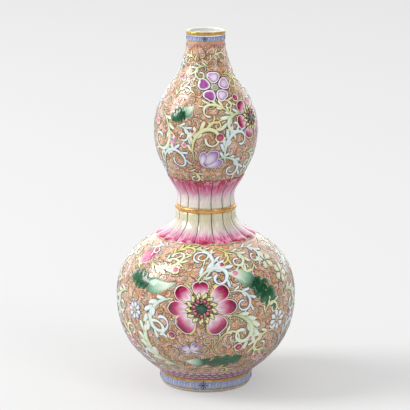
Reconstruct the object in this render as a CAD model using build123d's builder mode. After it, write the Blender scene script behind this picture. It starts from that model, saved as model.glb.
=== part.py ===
from build123d import *
import os
from math import cos, radians, sin
from typing import NamedTuple

# Double gourd vase in porcelain, about 327 mm tall. It is thrown in sections that are
# stacked on one axis and luted rim to rim with a thin layer of slip. Two fluted petal
# collars meet at the waist, where an applied ring covers their joint, and their hems lap
# over the two gourds. Lengths are millimetres and angles are degrees. The foot stands on
# Z = 0, the axis of the vase is Z and its front faces -Y.

# Heights of the sections, from the foot up
foot_ring_height = 7.3
lower_bowl_height = 75.8
lower_shoulder_height = 60.7
lower_collar_height = 22.2
upper_collar_height = 25.3
upper_bowl_height = 45.8
upper_shoulder_height = 58.2
neck_height = 28.6
lip_height = 3.4

# Where the wall bends within a section, as a share of that section's height
foot_land_share = 0.08
lower_shoulder_bend_share = 0.862
lower_flare_share = 0.39
waist_land_share = 0.77
waist_throat_share = 0.375
upper_flare_share = 0.767
upper_bowl_bend_share = 0.371
upper_shoulder_bend_share = 0.768
neck_bend_share = 0.427
neck_throat_share = 0.822

# Outer radii of the bare wall, without the petals
foot_radius = 42.3
lower_belly_radius = 81.7
lower_shoulder_bend_radius = 52.4
lower_collar_root_radius = 38.2
lower_flare_radius = 28.8
waist_land_radius = 26.4
waist_radius = 26.2
waist_throat_radius = 25.2
upper_flare_radius = 28.5
upper_collar_root_radius = 32.0
upper_bowl_bend_radius = 40.6
upper_belly_radius = 46.8
upper_shoulder_bend_radius = 29.4
neck_root_radius = 22.1
neck_bend_radius = 18.7
neck_throat_radius = 17.2
lip_root_radius = 17.4

# Lean of the wall from upright at those places, positive where it opens going up
foot_lean = 54.0
lower_shoulder_bend_lean = -58.5
lower_collar_root_lean = -52.0
lower_flare_lean = -36.0
upper_flare_lean = 29.5
upper_collar_root_lean = 28.0
upper_bowl_bend_lean = 26.0
upper_shoulder_bend_lean = -35.5
neck_root_lean = -21.0
neck_bend_lean = -14.5
lip_root_lean = 8.0

# Wall thicknesses
gourd_wall = 3.6
waist_wall = 3.4
neck_wall = 2.4

# Foot ring and floor
foot_wall = 6.7
foot_rim_inset = 3.1
foot_rim_width = 2.2
foot_heel_inset = 0.7
foot_heel_height = 3.2
foot_rim_round = 0.6
floor_thickness = 4.0
floor_round_width = 15.3

# Petal collars
petal_count = 15
petal_turn = -1.5
lower_petal_relief = 0.9
lower_flute_depth = 0.6
upper_petal_relief = 0.75
upper_flute_depth = 0.4
hem_bed = 0.2
lower_hem_radius = 45.8
lower_hem_scallop = 2.2
upper_hem_lap = 4.6
outline_shares = (0.0, 0.5)

# Applied ring at the waist
ring_height = 4.2
ring_crown = 0.9
ring_rebate = 0.5
ring_clearance = 0.1

# Rolled lip at the mouth
lip_radius = 17.9
lip_bore_radius = 15.1
lip_bulge_share = 0.55

# Slip between the rims: how thick it is, how far it is pointed back on the outside and
# how far it stands out as a bead on the inside
slip_thickness = 0.6
slip_point = 0.4
slip_bead = 0.8

# Cuts run this far past what they cut
overrun = 5.0

# Heights of the joints
foot_joint = foot_ring_height
lower_belly_joint = foot_joint + lower_bowl_height
lower_collar_joint = lower_belly_joint + lower_shoulder_height
waist_joint = lower_collar_joint + lower_collar_height
upper_collar_joint = waist_joint + upper_collar_height
upper_belly_joint = upper_collar_joint + upper_bowl_height
neck_joint = upper_belly_joint + upper_shoulder_height
lip_joint = neck_joint + neck_height
mouth_height = lip_joint + lip_height


class Station(NamedTuple):
    # A place on the wall: where its outer face is, how it leans there and how thick it is.
    radius: float
    height: float
    lean: float
    wall: float

    @property
    def upward(self):
        return Vector(sin(radians(self.lean)), cos(radians(self.lean)))

    @property
    def outside(self):
        return Vector(self.radius, self.height)

    @property
    def inside(self):
        return Vector(self.radius - self.wall / cos(radians(self.lean)), self.height)

    def raised(self, relief):
        # The same place, raised square to the wall.
        outward = Vector(self.upward.Y, -self.upward.X)
        return self.outside + outward * relief


foot_bend = Station(
    foot_radius, foot_joint + lower_bowl_height * foot_land_share, foot_lean, gourd_wall
)
lower_belly = Station(lower_belly_radius, lower_belly_joint, 0, gourd_wall)
lower_shoulder_bend = Station(
    lower_shoulder_bend_radius,
    lower_belly_joint + lower_shoulder_height * lower_shoulder_bend_share,
    lower_shoulder_bend_lean,
    gourd_wall,
)
lower_collar_root = Station(
    lower_collar_root_radius, lower_collar_joint, lower_collar_root_lean, waist_wall
)
lower_flare = Station(
    lower_flare_radius,
    lower_collar_joint + lower_collar_height * lower_flare_share,
    lower_flare_lean,
    waist_wall,
)
waist_land = Station(
    waist_land_radius,
    lower_collar_joint + lower_collar_height * waist_land_share,
    0,
    waist_wall,
)
waist = Station(waist_radius, waist_joint, 0, waist_wall)
waist_throat = Station(
    waist_throat_radius,
    waist_joint + upper_collar_height * waist_throat_share,
    0,
    waist_wall,
)
upper_flare = Station(
    upper_flare_radius,
    waist_joint + upper_collar_height * upper_flare_share,
    upper_flare_lean,
    waist_wall,
)
upper_collar_root = Station(
    upper_collar_root_radius, upper_collar_joint, upper_collar_root_lean, waist_wall
)
upper_bowl_bend = Station(
    upper_bowl_bend_radius,
    upper_collar_joint + upper_bowl_height * upper_bowl_bend_share,
    upper_bowl_bend_lean,
    gourd_wall,
)
upper_belly = Station(upper_belly_radius, upper_belly_joint, 0, gourd_wall)
upper_shoulder_bend = Station(
    upper_shoulder_bend_radius,
    upper_belly_joint + upper_shoulder_height * upper_shoulder_bend_share,
    upper_shoulder_bend_lean,
    gourd_wall,
)
neck_root = Station(neck_root_radius, neck_joint, neck_root_lean, neck_wall)
neck_bend = Station(
    neck_bend_radius, neck_joint + neck_height * neck_bend_share, neck_bend_lean, neck_wall
)
neck_throat = Station(
    neck_throat_radius, neck_joint + neck_height * neck_throat_share, 0, neck_wall
)
lip_root = Station(lip_root_radius, lip_joint, lip_root_lean, neck_wall)


def draw_outside(*stations):
    # Draws the outer face upward through the stations, inside an open BuildLine.
    for low, high in zip(stations, stations[1:]):
        Spline(low.outside, high.outside, tangents=(low.upward, high.upward))


def draw_inside(*stations):
    # Draws the inner face upward through the stations, inside an open BuildLine.
    for low, high in zip(stations, stations[1:]):
        Spline(low.inside, high.inside, tangents=(low.upward, high.upward))


def wall_section(*stations):
    # Half section of a wall that passes through the stations and ends in level rims.
    with BuildSketch(Plane.XZ) as section:
        with BuildLine():
            draw_outside(*stations)
            draw_inside(*stations)
            Line(stations[0].inside, stations[0].outside)
            Line(stations[-1].inside, stations[-1].outside)
        make_face()
    return section.sketch


def make_room_for_slip(joint, reach):
    # Takes half a layer of slip off the rim of the open part at a joint.
    with Locations((0, 0, joint)):
        Cylinder(reach, slip_thickness, mode=Mode.SUBTRACT)


def petal_outline(crown_radius, valley_radius, height):
    # Level outline with one arc for each petal and a valley between each two.
    with BuildSketch(Plane.XY.offset(height)) as outline:
        with BuildLine():
            for petal in range(petal_count):
                middle = petal_turn - 90 + petal * 360 / petal_count
                valley_turn = 180 / petal_count
                ThreePointArc(
                    Vector(valley_radius, 0).rotate(Axis.Z, middle - valley_turn),
                    Vector(crown_radius, 0).rotate(Axis.Z, middle),
                    Vector(valley_radius, 0).rotate(Axis.Z, middle + valley_turn),
                )
        make_face()
    return outline.sketch


def loft_petals(relief, flute_depth, *stations):
    # Lofts the fluted outside of a collar, solid to the axis, into the open part.
    crowns = []
    for low, high in zip(stations, stations[1:]):
        crown_line = Spline(
            low.raised(relief), high.raised(relief), tangents=(low.upward, high.upward)
        )
        crowns += [crown_line @ share for share in outline_shares]
    crowns.append(stations[-1].raised(relief))
    loft([petal_outline(crown.X, crown.X - flute_depth, crown.Y) for crown in crowns])


def cut_hollow(hem, joint, bore):
    # Hollows the open collar: the bore along its stations, and the bed under the hem.
    low, high = sorted((hem, joint), key=lambda station: station.height)
    bed_end = hem.raised(hem_bed)
    with BuildSketch(Plane.XZ) as hollow:
        with BuildLine():
            Spline(
                low.raised(hem_bed),
                high.raised(hem_bed),
                tangents=(low.upward, high.upward),
            )
            Line(joint.raised(hem_bed), joint.inside)
            draw_inside(*bore)
            Line(waist.inside, (0, waist_joint))
            Line((0, waist_joint), (0, bed_end.Y))
            Line((0, bed_end.Y), bed_end)
        make_face()
    revolve(hollow.sketch, Axis.Z, mode=Mode.SUBTRACT)


def cut_ring_rebate():
    # Cuts half the seat of the waist ring into the open collar.
    with BuildSketch(Plane.XY.offset(waist_joint - ring_height / 2)) as rebate:
        Circle(waist_radius + overrun)
        Circle(waist_radius - ring_rebate, mode=Mode.SUBTRACT)
    extrude(rebate.sketch, ring_height, mode=Mode.SUBTRACT)


# Foot ring, turned with a rounded heel and a narrow standing rim
with BuildPart() as foot_ring:
    foot_rim_radius = foot_radius - foot_rim_inset
    with BuildSketch(Plane.XZ):
        with BuildLine():
            Line((foot_rim_radius - foot_rim_width, 0), (foot_rim_radius, 0))
            Spline(
                (foot_rim_radius, 0),
                (foot_radius - foot_heel_inset, foot_heel_height),
                (foot_radius, foot_joint),
            )
            Line((foot_radius, foot_joint), (foot_radius - foot_wall, foot_joint))
            Line(
                (foot_radius - foot_wall, foot_joint),
                (foot_rim_radius - foot_rim_width, 0),
            )
        make_face()
    revolve(axis=Axis.Z)
    fillet(foot_ring.edges().group_by(Axis.Z)[0], foot_rim_round)
    make_room_for_slip(foot_joint, foot_radius + overrun)
foot_ring.part.label = "foot_ring"

# Lower bowl: the bottom half of the lower gourd, with the floor and a land over the foot
with BuildPart() as lower_bowl:
    floor_top = foot_joint + floor_thickness
    floor_flat_radius = foot_radius - floor_round_width
    with BuildSketch(Plane.XZ):
        with BuildLine():
            Line((0, foot_joint), (foot_radius, foot_joint))
            Line((foot_radius, foot_joint), foot_bend.outside)
            draw_outside(foot_bend, lower_belly)
            Line(lower_belly.outside, lower_belly.inside)
            draw_inside(foot_bend, lower_belly)
            Spline(
                (floor_flat_radius, floor_top),
                foot_bend.inside,
                tangents=((1, 0), foot_bend.upward),
            )
            Line((floor_flat_radius, floor_top), (0, floor_top))
            Line((0, floor_top), (0, foot_joint))
        make_face()
    revolve(axis=Axis.Z)
    make_room_for_slip(foot_joint, foot_radius + overrun)
    make_room_for_slip(lower_belly_joint, lower_belly_radius + overrun)
lower_bowl.part.label = "lower_bowl"

# Lower shoulder: the top half of the lower gourd
with BuildPart() as lower_shoulder:
    revolve(wall_section(lower_belly, lower_shoulder_bend, lower_collar_root), Axis.Z)
    make_room_for_slip(lower_belly_joint, lower_belly_radius + overrun)
    make_room_for_slip(lower_collar_joint, lower_belly_radius)
lower_shoulder.part.label = "lower_shoulder"

# Lower petal collar: fifteen petals that spread from the waist and end in a scalloped hem
with BuildPart() as lower_petal_collar:
    loft_petals(
        lower_petal_relief,
        lower_flute_depth,
        lower_shoulder_bend,
        lower_collar_root,
        lower_flare,
        waist_land,
        waist,
    )
    cut_hollow(
        lower_shoulder_bend,
        lower_collar_root,
        (lower_collar_root, lower_flare, waist_land, waist),
    )
    hem_outline = petal_outline(
        lower_hem_radius, lower_hem_radius - lower_hem_scallop, lower_shoulder_bend.height
    )
    extrude(hem_outline, waist_joint - lower_shoulder_bend.height, mode=Mode.INTERSECT)
    make_room_for_slip(lower_collar_joint, lower_collar_root.raised(hem_bed).X)
    make_room_for_slip(waist_joint, waist_radius + overrun)
    cut_ring_rebate()
lower_petal_collar.part.label = "lower_petal_collar"

# Upper petal collar: the same petals, rising from the waist to a level hem
with BuildPart() as upper_petal_collar:
    loft_petals(
        upper_petal_relief,
        upper_flute_depth,
        waist,
        waist_throat,
        upper_flare,
        upper_collar_root,
        upper_bowl_bend,
    )
    split(
        bisect_by=Plane.XY.offset(upper_collar_joint + upper_hem_lap), keep=Keep.BOTTOM
    )
    cut_hollow(
        upper_bowl_bend,
        upper_collar_root,
        (waist, waist_throat, upper_flare, upper_collar_root),
    )
    make_room_for_slip(upper_collar_joint, upper_collar_root.raised(hem_bed).X)
    make_room_for_slip(waist_joint, waist_radius + overrun)
    cut_ring_rebate()
upper_petal_collar.part.label = "upper_petal_collar"

# Waist ring, seated in the rebates of both collars
with BuildPart() as waist_ring:
    ring_bore_radius = waist_radius - ring_rebate + ring_clearance
    ring_edge_radius = waist_radius + lower_petal_relief
    with BuildSketch(Plane.XZ):
        with BuildLine():
            ThreePointArc(
                (ring_edge_radius, waist_joint - ring_height / 2),
                (ring_edge_radius + ring_crown, waist_joint),
                (ring_edge_radius, waist_joint + ring_height / 2),
            )
            Line(
                (ring_edge_radius, waist_joint + ring_height / 2),
                (ring_bore_radius, waist_joint + ring_height / 2),
            )
            Line(
                (ring_bore_radius, waist_joint + ring_height / 2),
                (ring_bore_radius, waist_joint - ring_height / 2),
            )
            Line(
                (ring_bore_radius, waist_joint - ring_height / 2),
                (ring_edge_radius, waist_joint - ring_height / 2),
            )
        make_face()
    revolve(axis=Axis.Z)
waist_ring.part.label = "waist_ring"

# Upper bowl: the bottom half of the upper gourd
with BuildPart() as upper_bowl:
    revolve(wall_section(upper_collar_root, upper_bowl_bend, upper_belly), Axis.Z)
    make_room_for_slip(upper_collar_joint, upper_belly_radius)
    make_room_for_slip(upper_belly_joint, upper_belly_radius + overrun)
upper_bowl.part.label = "upper_bowl"

# Upper shoulder: the top half of the upper gourd, drawn in to the neck
with BuildPart() as upper_shoulder:
    revolve(wall_section(upper_belly, upper_shoulder_bend, neck_root), Axis.Z)
    make_room_for_slip(upper_belly_joint, upper_belly_radius + overrun)
    make_room_for_slip(neck_joint, upper_belly_radius)
upper_shoulder.part.label = "upper_shoulder"

# Neck, narrowest just under the lip
with BuildPart() as neck:
    revolve(wall_section(neck_root, neck_bend, neck_throat, lip_root), Axis.Z)
    make_room_for_slip(neck_joint, neck_root_radius + overrun)
    make_room_for_slip(lip_joint, lip_radius + overrun)
neck.part.label = "neck"

# Mouth lip, rolled out and rounded over into the bore
with BuildPart() as mouth_lip:
    lip_bulge_height = lip_joint + lip_height * lip_bulge_share
    lip_crown_radius = (lip_radius + lip_bore_radius) / 2
    with BuildSketch(Plane.XZ):
        with BuildLine():
            Spline(
                lip_root.outside,
                (lip_radius, lip_bulge_height),
                (lip_crown_radius, mouth_height),
                tangents=(lip_root.upward, (-1, 0)),
            )
            Spline(
                (lip_crown_radius, mouth_height),
                (lip_bore_radius, lip_bulge_height),
                tangents=((-1, 0), (0, -1)),
            )
            Line((lip_bore_radius, lip_bulge_height), lip_root.inside)
            Line(lip_root.inside, lip_root.outside)
        make_face()
    revolve(axis=Axis.Z)
    make_room_for_slip(lip_joint, lip_radius + overrun)
mouth_lip.part.label = "mouth_lip"

# Slip layers between the rims, each pointed back outside and beaded inside
slip_rims = {
    "slip_foot": (foot_joint, foot_radius, foot_radius - foot_wall),
    "slip_lower_belly": (lower_belly_joint, lower_belly.radius, lower_belly.inside.X),
    "slip_lower_collar": (
        lower_collar_joint,
        lower_collar_root.radius,
        lower_collar_root.inside.X,
    ),
    "slip_waist": (waist_joint, waist.radius - ring_rebate, waist.inside.X),
    "slip_upper_collar": (
        upper_collar_joint,
        upper_collar_root.radius,
        upper_collar_root.inside.X,
    ),
    "slip_upper_belly": (upper_belly_joint, upper_belly.radius, upper_belly.inside.X),
    "slip_neck": (neck_joint, neck_root.radius, neck_root.inside.X),
    "slip_lip": (lip_joint, lip_root.radius, lip_root.inside.X),
}
slips = []
for name, (joint, outer_radius, bore_radius) in slip_rims.items():
    with BuildPart() as slip:
        with BuildSketch(Plane.XY.offset(joint - slip_thickness / 2)):
            Circle(outer_radius - slip_point)
            Circle(bore_radius - slip_bead, mode=Mode.SUBTRACT)
        extrude(amount=slip_thickness)
    slip.part.label = name
    slips.append(slip)

os.makedirs("parts", exist_ok=True)
sections = [
    foot_ring,
    lower_bowl,
    lower_shoulder,
    lower_petal_collar,
    waist_ring,
    upper_petal_collar,
    upper_bowl,
    upper_shoulder,
    neck,
    mouth_lip,
]
for piece in sections + slips:
    export_step(piece.part, f"parts/{piece.part.label}.step")
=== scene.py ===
import math
import random

import bmesh
import bpy
import numpy as np
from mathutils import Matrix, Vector
from mathutils.bvhtree import BVHTree


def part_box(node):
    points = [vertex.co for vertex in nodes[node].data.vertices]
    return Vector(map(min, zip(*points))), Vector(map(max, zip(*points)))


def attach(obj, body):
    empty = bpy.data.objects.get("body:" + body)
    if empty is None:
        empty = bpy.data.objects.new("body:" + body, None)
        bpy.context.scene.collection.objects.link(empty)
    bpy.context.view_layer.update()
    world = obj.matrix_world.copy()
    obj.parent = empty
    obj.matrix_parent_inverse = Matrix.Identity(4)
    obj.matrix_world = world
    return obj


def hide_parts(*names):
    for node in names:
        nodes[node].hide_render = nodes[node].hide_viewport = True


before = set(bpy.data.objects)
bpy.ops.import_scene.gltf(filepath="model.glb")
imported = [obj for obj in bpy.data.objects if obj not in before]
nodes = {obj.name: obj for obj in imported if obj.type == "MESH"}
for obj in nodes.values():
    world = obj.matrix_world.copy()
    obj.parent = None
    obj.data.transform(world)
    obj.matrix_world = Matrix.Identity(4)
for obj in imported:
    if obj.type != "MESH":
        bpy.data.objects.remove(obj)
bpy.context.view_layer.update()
mm = 0.001
fullTurn = 2 * math.pi
print("frame loaded with", len(nodes), "nodes")


# Colours are written as they look in the photograph and turned into linear light here
def tint(code):
    channels = [int(code[i : i + 2], 16) / 255 for i in (1, 3, 5)]
    linear = [c / 12.92 if c <= 0.04045 else ((c + 0.055) / 1.055) ** 2.4 for c in channels]
    return np.array(linear + [1.0])


# Sets a node's inputs, and links those that come as a socket of another node
def feed(tree, node, inputs):
    for key, value in inputs.items():
        socket = node.inputs[key]
        if isinstance(value, bpy.types.NodeSocket):
            tree.links.new(value, socket)
        else:
            socket.default_value = value


def addNode(tree, kind, inputs=None, **settings):
    node = tree.nodes.new(kind)
    for name, value in settings.items():
        setattr(node, name, value)
    feed(tree, node, inputs or {})
    return node


# A node group: each input has a socket type and a value, and each output a socket type
def newGroup(name, kind, inputs, outputs):
    tree = bpy.data.node_groups.new(name, kind)
    for label, (socketType, value) in inputs.items():
        socket = tree.interface.new_socket(name=label, in_out="INPUT", socket_type="NodeSocket" + socketType)
        if value is not None:
            socket.default_value = value
    for label, socketType in outputs.items():
        tree.interface.new_socket(name=label, in_out="OUTPUT", socket_type="NodeSocket" + socketType)
    return tree, tree.nodes.new("NodeGroupInput").outputs, tree.nodes.new("NodeGroupOutput")


def newMaterial(name):
    material = bpy.data.materials.new(name)
    material.use_nodes = True
    tree = material.node_tree
    tree.nodes.clear()
    shader = addNode(tree, "ShaderNodeBsdfPrincipled")
    addNode(tree, "ShaderNodeOutputMaterial", {"Surface": shader.outputs["BSDF"]})
    return material, tree, shader


def mixColour(tree, share, first, second, mode="MIX"):
    inputs = {0: share, 6: first, 7: second}  # the factor and the two colours of the mix
    return addNode(tree, "ShaderNodeMix", inputs, data_type="RGBA", blend_type=mode).outputs[2]


def maths(tree, operation, *values):
    return addNode(tree, "ShaderNodeMath", dict(enumerate(values)), operation=operation).outputs[0]


def vectorMaths(tree, operation, *values, output=0):
    node = addNode(tree, "ShaderNodeVectorMath", dict(enumerate(values)), operation=operation)
    return node.outputs[output]


def mapRange(tree, value, low, high, fromLow=0.0, fromHigh=1.0, kind="LINEAR"):
    inputs = {"Value": value, "From Min": fromLow, "From Max": fromHigh, "To Min": low, "To Max": high}
    return addNode(tree, "ShaderNodeMapRange", inputs, interpolation_type=kind).outputs["Result"]


# Stops are pairs of a place and a colour code or a grey value
def ramp(tree, share, stops):
    node = addNode(tree, "ShaderNodeValToRGB", {"Fac": share})
    elements = node.color_ramp.elements
    while len(elements) < len(stops):
        elements.new(1.0)
    for element, (place, colour) in zip(elements, stops):
        element.position = place
        element.color = tint(colour) if isinstance(colour, str) else (colour, colour, colour, 1)
    return node.outputs["Color"]


def objectPlace(tree):
    return addNode(tree, "ShaderNodeTexCoord").outputs["Object"]


def noise(tree, place, scale, detail, output="Fac"):
    inputs = {"Vector": place, "Scale": scale, "Detail": detail}
    return addNode(tree, "ShaderNodeTexNoise", inputs).outputs[output]


def bump(tree, height, distance, **more):
    inputs = {"Height": height, "Distance": distance, "Strength": 1.0, **more}
    return addNode(tree, "ShaderNodeBump", inputs).outputs["Normal"]


# Small curls that fill the ground of the vase: in each cell of a broken honeycomb a line
# winds round the cell's middle, with a darker line beside it
def makeCurlGroup():
    wanderScale, wanderReach, shadeLag = 90.0, 0.0035, 0.9
    inputs = {"Cells per metre": ("Float", 150.0), "Winding": ("Float", 8.0), "Width": ("Float", 0.3)}
    outputs = {"Line": "Float", "Shade": "Float"}
    tree, given, result = newGroup("groundCurls", "ShaderNodeTree", inputs, outputs)
    density = given["Cells per metre"]
    place = objectPlace(tree)
    wander = vectorMaths(tree, "SUBTRACT", noise(tree, place, wanderScale, 2.0, "Color"), (0.5, 0.5, 0.5))
    wander = addNode(tree, "ShaderNodeVectorMath", {0: wander, "Scale": wanderReach}, operation="SCALE")
    place = vectorMaths(tree, "ADD", place, wander.outputs[0])
    cells = addNode(tree, "ShaderNodeTexVoronoi", {"Vector": place, "Scale": density, "Randomness": 0.9})
    away = vectorMaths(tree, "SUBTRACT", place, cells.outputs["Position"])
    outward = addNode(tree, "ShaderNodeNewGeometry").outputs["Normal"]
    east = vectorMaths(tree, "NORMALIZE", vectorMaths(tree, "CROSS_PRODUCT", (0, 0, 1), outward))
    north = vectorMaths(tree, "CROSS_PRODUCT", outward, east)
    x, y = [
        maths(tree, "MULTIPLY", vectorMaths(tree, "DOT_PRODUCT", away, side, output=1), density)
        for side in (east, north)
    ]
    lot = addNode(tree, "ShaderNodeSeparateColor", {"Color": cells.outputs["Color"]}).outputs
    hand = maths(tree, "MULTIPLY_ADD", maths(tree, "GREATER_THAN", lot[0], 0.5), 2.0, -1.0)
    angle = maths(tree, "MULTIPLY", maths(tree, "ARCTAN2", y, x), hand)
    reach = maths(tree, "SQRT", maths(tree, "MULTIPLY_ADD", x, x, maths(tree, "MULTIPLY", y, y)))
    turn = maths(tree, "MULTIPLY_ADD", lot[1], fullTurn, maths(tree, "MULTIPLY", reach, given["Winding"]))
    phase = maths(tree, "SUBTRACT", angle, turn)
    edge = maths(tree, "SUBTRACT", 1.0, given["Width"])
    for name, wave in (("Line", phase), ("Shade", maths(tree, "ADD", phase, shadeLag))):
        crest = maths(tree, "COSINE", wave)
        feed(tree, result, {name: mapRange(tree, crest, 0.0, 1.0, edge, 1.0, "SMOOTHSTEP")})
    return tree


# A little unevenness that every glazed surface shows in its reflections
def makeGlazeGroup():
    specks, roughness = 700.0, (0.16, 0.28)
    inputs, outputs = {"Scale": ("Float", 60.0)}, {"Ripple": "Float", "Roughness": "Float"}
    tree, given, result = newGroup("glazeRipple", "ShaderNodeTree", inputs, outputs)
    place = objectPlace(tree)
    feed(tree, result, {"Ripple": noise(tree, place, given["Scale"], 3.0)})
    feed(tree, result, {"Roughness": mapRange(tree, noise(tree, place, specks, 2.0), *roughness)})
    return tree


curlGroup = makeCurlGroup()
glazeGroup = makeGlazeGroup()
glazeLook = {"ripple": 0.00004, "coat": 0.9, "coatRoughness": 0.11}


def glaze(tree, shader, colour, relief=None, reliefDepth=0.0):
    uneven = addNode(tree, "ShaderNodeGroup", node_tree=glazeGroup).outputs
    normal = bump(tree, uneven["Ripple"], glazeLook["ripple"])
    if relief is not None:
        normal = bump(tree, relief, reliefDepth, Normal=normal)
    feed(tree, shader, {"Base Color": colour, "Normal": normal, "Roughness": uneven["Roughness"]})
    coat = {"Coat Weight": glazeLook["coat"], "Coat Roughness": glazeLook["coatRoughness"]}
    feed(tree, shader, {**coat, "Specular IOR Level": 0.5})


# The tan ground that fills the space between the flowers, covered with small painted curls
def makeGroundMaterial():
    look = {
        "ground": "#e4b893",
        "warm": "#dc9c6a",
        "deep": "#46301a",
        "pale": "#faead2",
        "rose": "#f2b8ac",
        "olive": "#c2a878",
        "patches": 95.0,
        "curls": {"Cells per metre": 118.0, "Winding": 9.5, "Width": 0.36},
        "fineCurls": {"Cells per metre": 290.0, "Winding": 7.0, "Width": 0.3},
        "fineShade": 0.4,
        "shade": 0.64,
        "line": 0.68,
        "relief": 0.00003,
    }
    material, tree, shader = newMaterial("tanScrollGround")
    tones = ((0.3, "olive"), (0.4, "rose"), (0.5, "ground"), (0.6, "warm"), (0.7, "ground"), (0.78, "rose"))
    patches = noise(tree, objectPlace(tree), look["patches"], 3.0)
    colour = ramp(tree, patches, [(place, look[tone]) for place, tone in tones])
    curls = addNode(tree, "ShaderNodeGroup", look["curls"], node_tree=curlGroup).outputs
    fine = addNode(tree, "ShaderNodeGroup", look["fineCurls"], node_tree=curlGroup).outputs
    layers = (
        (fine["Shade"], "fineShade", "deep"),
        (curls["Shade"], "shade", "deep"),
        (curls["Line"], "line", "pale"),
    )
    for mask, share, tone in layers:
        colour = mixColour(tree, maths(tree, "MULTIPLY", mask, look[share]), colour, tint(look[tone]))
    glaze(tree, shader, colour, curls["Line"], look["relief"])
    return material


# A glaze of one colour that is clouded by a second, slightly different one
def makeGlaze(name, first, second, scale=160.0):
    material, tree, shader = newMaterial(name)
    clouds = noise(tree, objectPlace(tree), scale, 3.0)
    glaze(tree, shader, ramp(tree, clouds, [(0.35, first), (0.65, second)]))
    return material


# Rubbed gilding over porcelain: gold with a browner tone where it is thin
def makeGilding(name, gold, thin):
    look = {"wear": 220.0, "roughness": (0.2, 0.34), "metal": 0.5, "relief": 0.00005}
    material, tree, shader = newMaterial(name)
    wear = noise(tree, objectPlace(tree), look["wear"], 4.0)
    feed(tree, shader, {"Base Color": ramp(tree, wear, [(0.35, thin), (0.6, gold)])})
    feed(tree, shader, {"Roughness": mapRange(tree, wear, *look["roughness"]), "Metallic": look["metal"]})
    feed(tree, shader, {"Normal": bump(tree, wear, look["relief"])})
    return material


# Petal colours from the ring to the hem, with brushed streaks along the petal, a dark line
# in the groove, painted shade beside the groove and a painted border on the hem
def makePetalMaterial(name, stops, border):
    look = {"strands": 14.0, "stretch": 0.16, "streaks": 13.0, "uneven": 130.0, "blots": 210.0}
    material, tree, shader = newMaterial(name)
    along, rib, hem, across = [
        addNode(tree, "ShaderNodeAttribute", attribute_name=word).outputs["Fac"]
        for word in ("along", "rib", "hem", "across")
    ]
    place = objectPlace(tree)
    stretched = maths(tree, "MULTIPLY", along, look["stretch"])
    strands = noise(tree, place, look["strands"], 0.0)
    drawn = addNode(tree, "ShaderNodeCombineXYZ", {"X": across, "Y": stretched, "Z": strands}).outputs[0]
    streaks = noise(tree, drawn, look["streaks"], 2.0)
    blots = noise(tree, place, look["blots"], 1.0)
    shift = maths(tree, "MULTIPLY_ADD", noise(tree, place, look["uneven"], 2.0), 0.2, -0.1)
    shift = maths(tree, "ADD", shift, maths(tree, "MULTIPLY_ADD", streaks, 0.34, -0.17))
    colour = ramp(tree, maths(tree, "ADD", along, shift), stops)
    nearHem = ramp(tree, along, [(0.76, 0.0), (0.9, 1.0)])
    deep = maths(tree, "MULTIPLY", nearHem, ramp(tree, blots, [(0.5, 0.0), (0.6, 0.85)]))
    bright = maths(tree, "MULTIPLY", nearHem, ramp(tree, blots, [(0.38, 0.75), (0.48, 0.0)]))
    layers = (
        (ramp(tree, streaks, [(0.5, 0.0), (0.7, 0.4)]), "#8f8579", "MULTIPLY"),
        (ramp(tree, streaks, [(0.3, 0.35), (0.46, 0.0)]), "#f1ece4", "MIX"),
        (deep, "#a81040", "MIX"),
        (bright, "#f2b0ca", "MIX"),
        (ramp(tree, rib, [(0.02, 0.35), (0.09, 0.0)]), "#8f8b6a", "MULTIPLY"),  # painted shade beside the groove
        (hem, border, "MIX"),
        (ramp(tree, rib, [(0.026, 1.0), (0.045, 0.0)]), "#3f3f2c", "MIX"),  # the groove itself
    )
    for share, tone, mode in layers:
        colour = mixColour(tree, share, colour, tint(tone), mode)
    glaze(tree, shader, colour)
    return material


# Enamel laid on in relief: each shape carries its own colours, and the brush leaves them uneven
def makeEnamelMaterial():
    look = {"brush": 420.0, "bare": "#f2ece2", "bareShare": 0.35}
    material, tree, shader = newMaterial("raisedEnamel")
    painted = addNode(tree, "ShaderNodeAttribute", attribute_name="enamel").outputs["Color"]
    brush = noise(tree, objectPlace(tree), look["brush"], 3.0)
    thin = ramp(tree, brush, [(0.35, 0.14), (0.5, 0.0)])
    thick = ramp(tree, brush, [(0.55, 0.0), (0.75, 0.25)])
    bare = mixColour(tree, look["bareShare"], painted, tint(look["bare"]))
    colour = mixColour(tree, thin, painted, bare)
    glaze(tree, shader, mixColour(tree, thick, colour, painted, "MULTIPLY"))
    return material


ringGold = makeGilding("ringGold", "#f4be76", "#d49c58")
enamelMaterial = makeEnamelMaterial()
bandGlazes = {
    "ground": makeGroundMaterial(),
    "white": makeGlaze("clearWhiteGlaze", "#e9ebe6", "#f0efe9", 30.0),
    "blue": makeGlaze("paleBlueGlaze", "#b9c3dd", "#cdd2e4"),
    "gold": makeGilding("lipGold", "#e0b862", "#c4984c"),
    "rust": makeGlaze("rustGlaze", "#b06a52", "#c98a6c"),
    "blueLine": makeGlaze("blueLineGlaze", "#5e72b4", "#7f8fc4", 200.0),
    "salmon": makeGlaze("salmonGlaze", "#cf8f74", "#d9a98c"),
}
bandNumber = {name: number for number, name in enumerate(bandGlazes)}
print("materials made")


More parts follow.
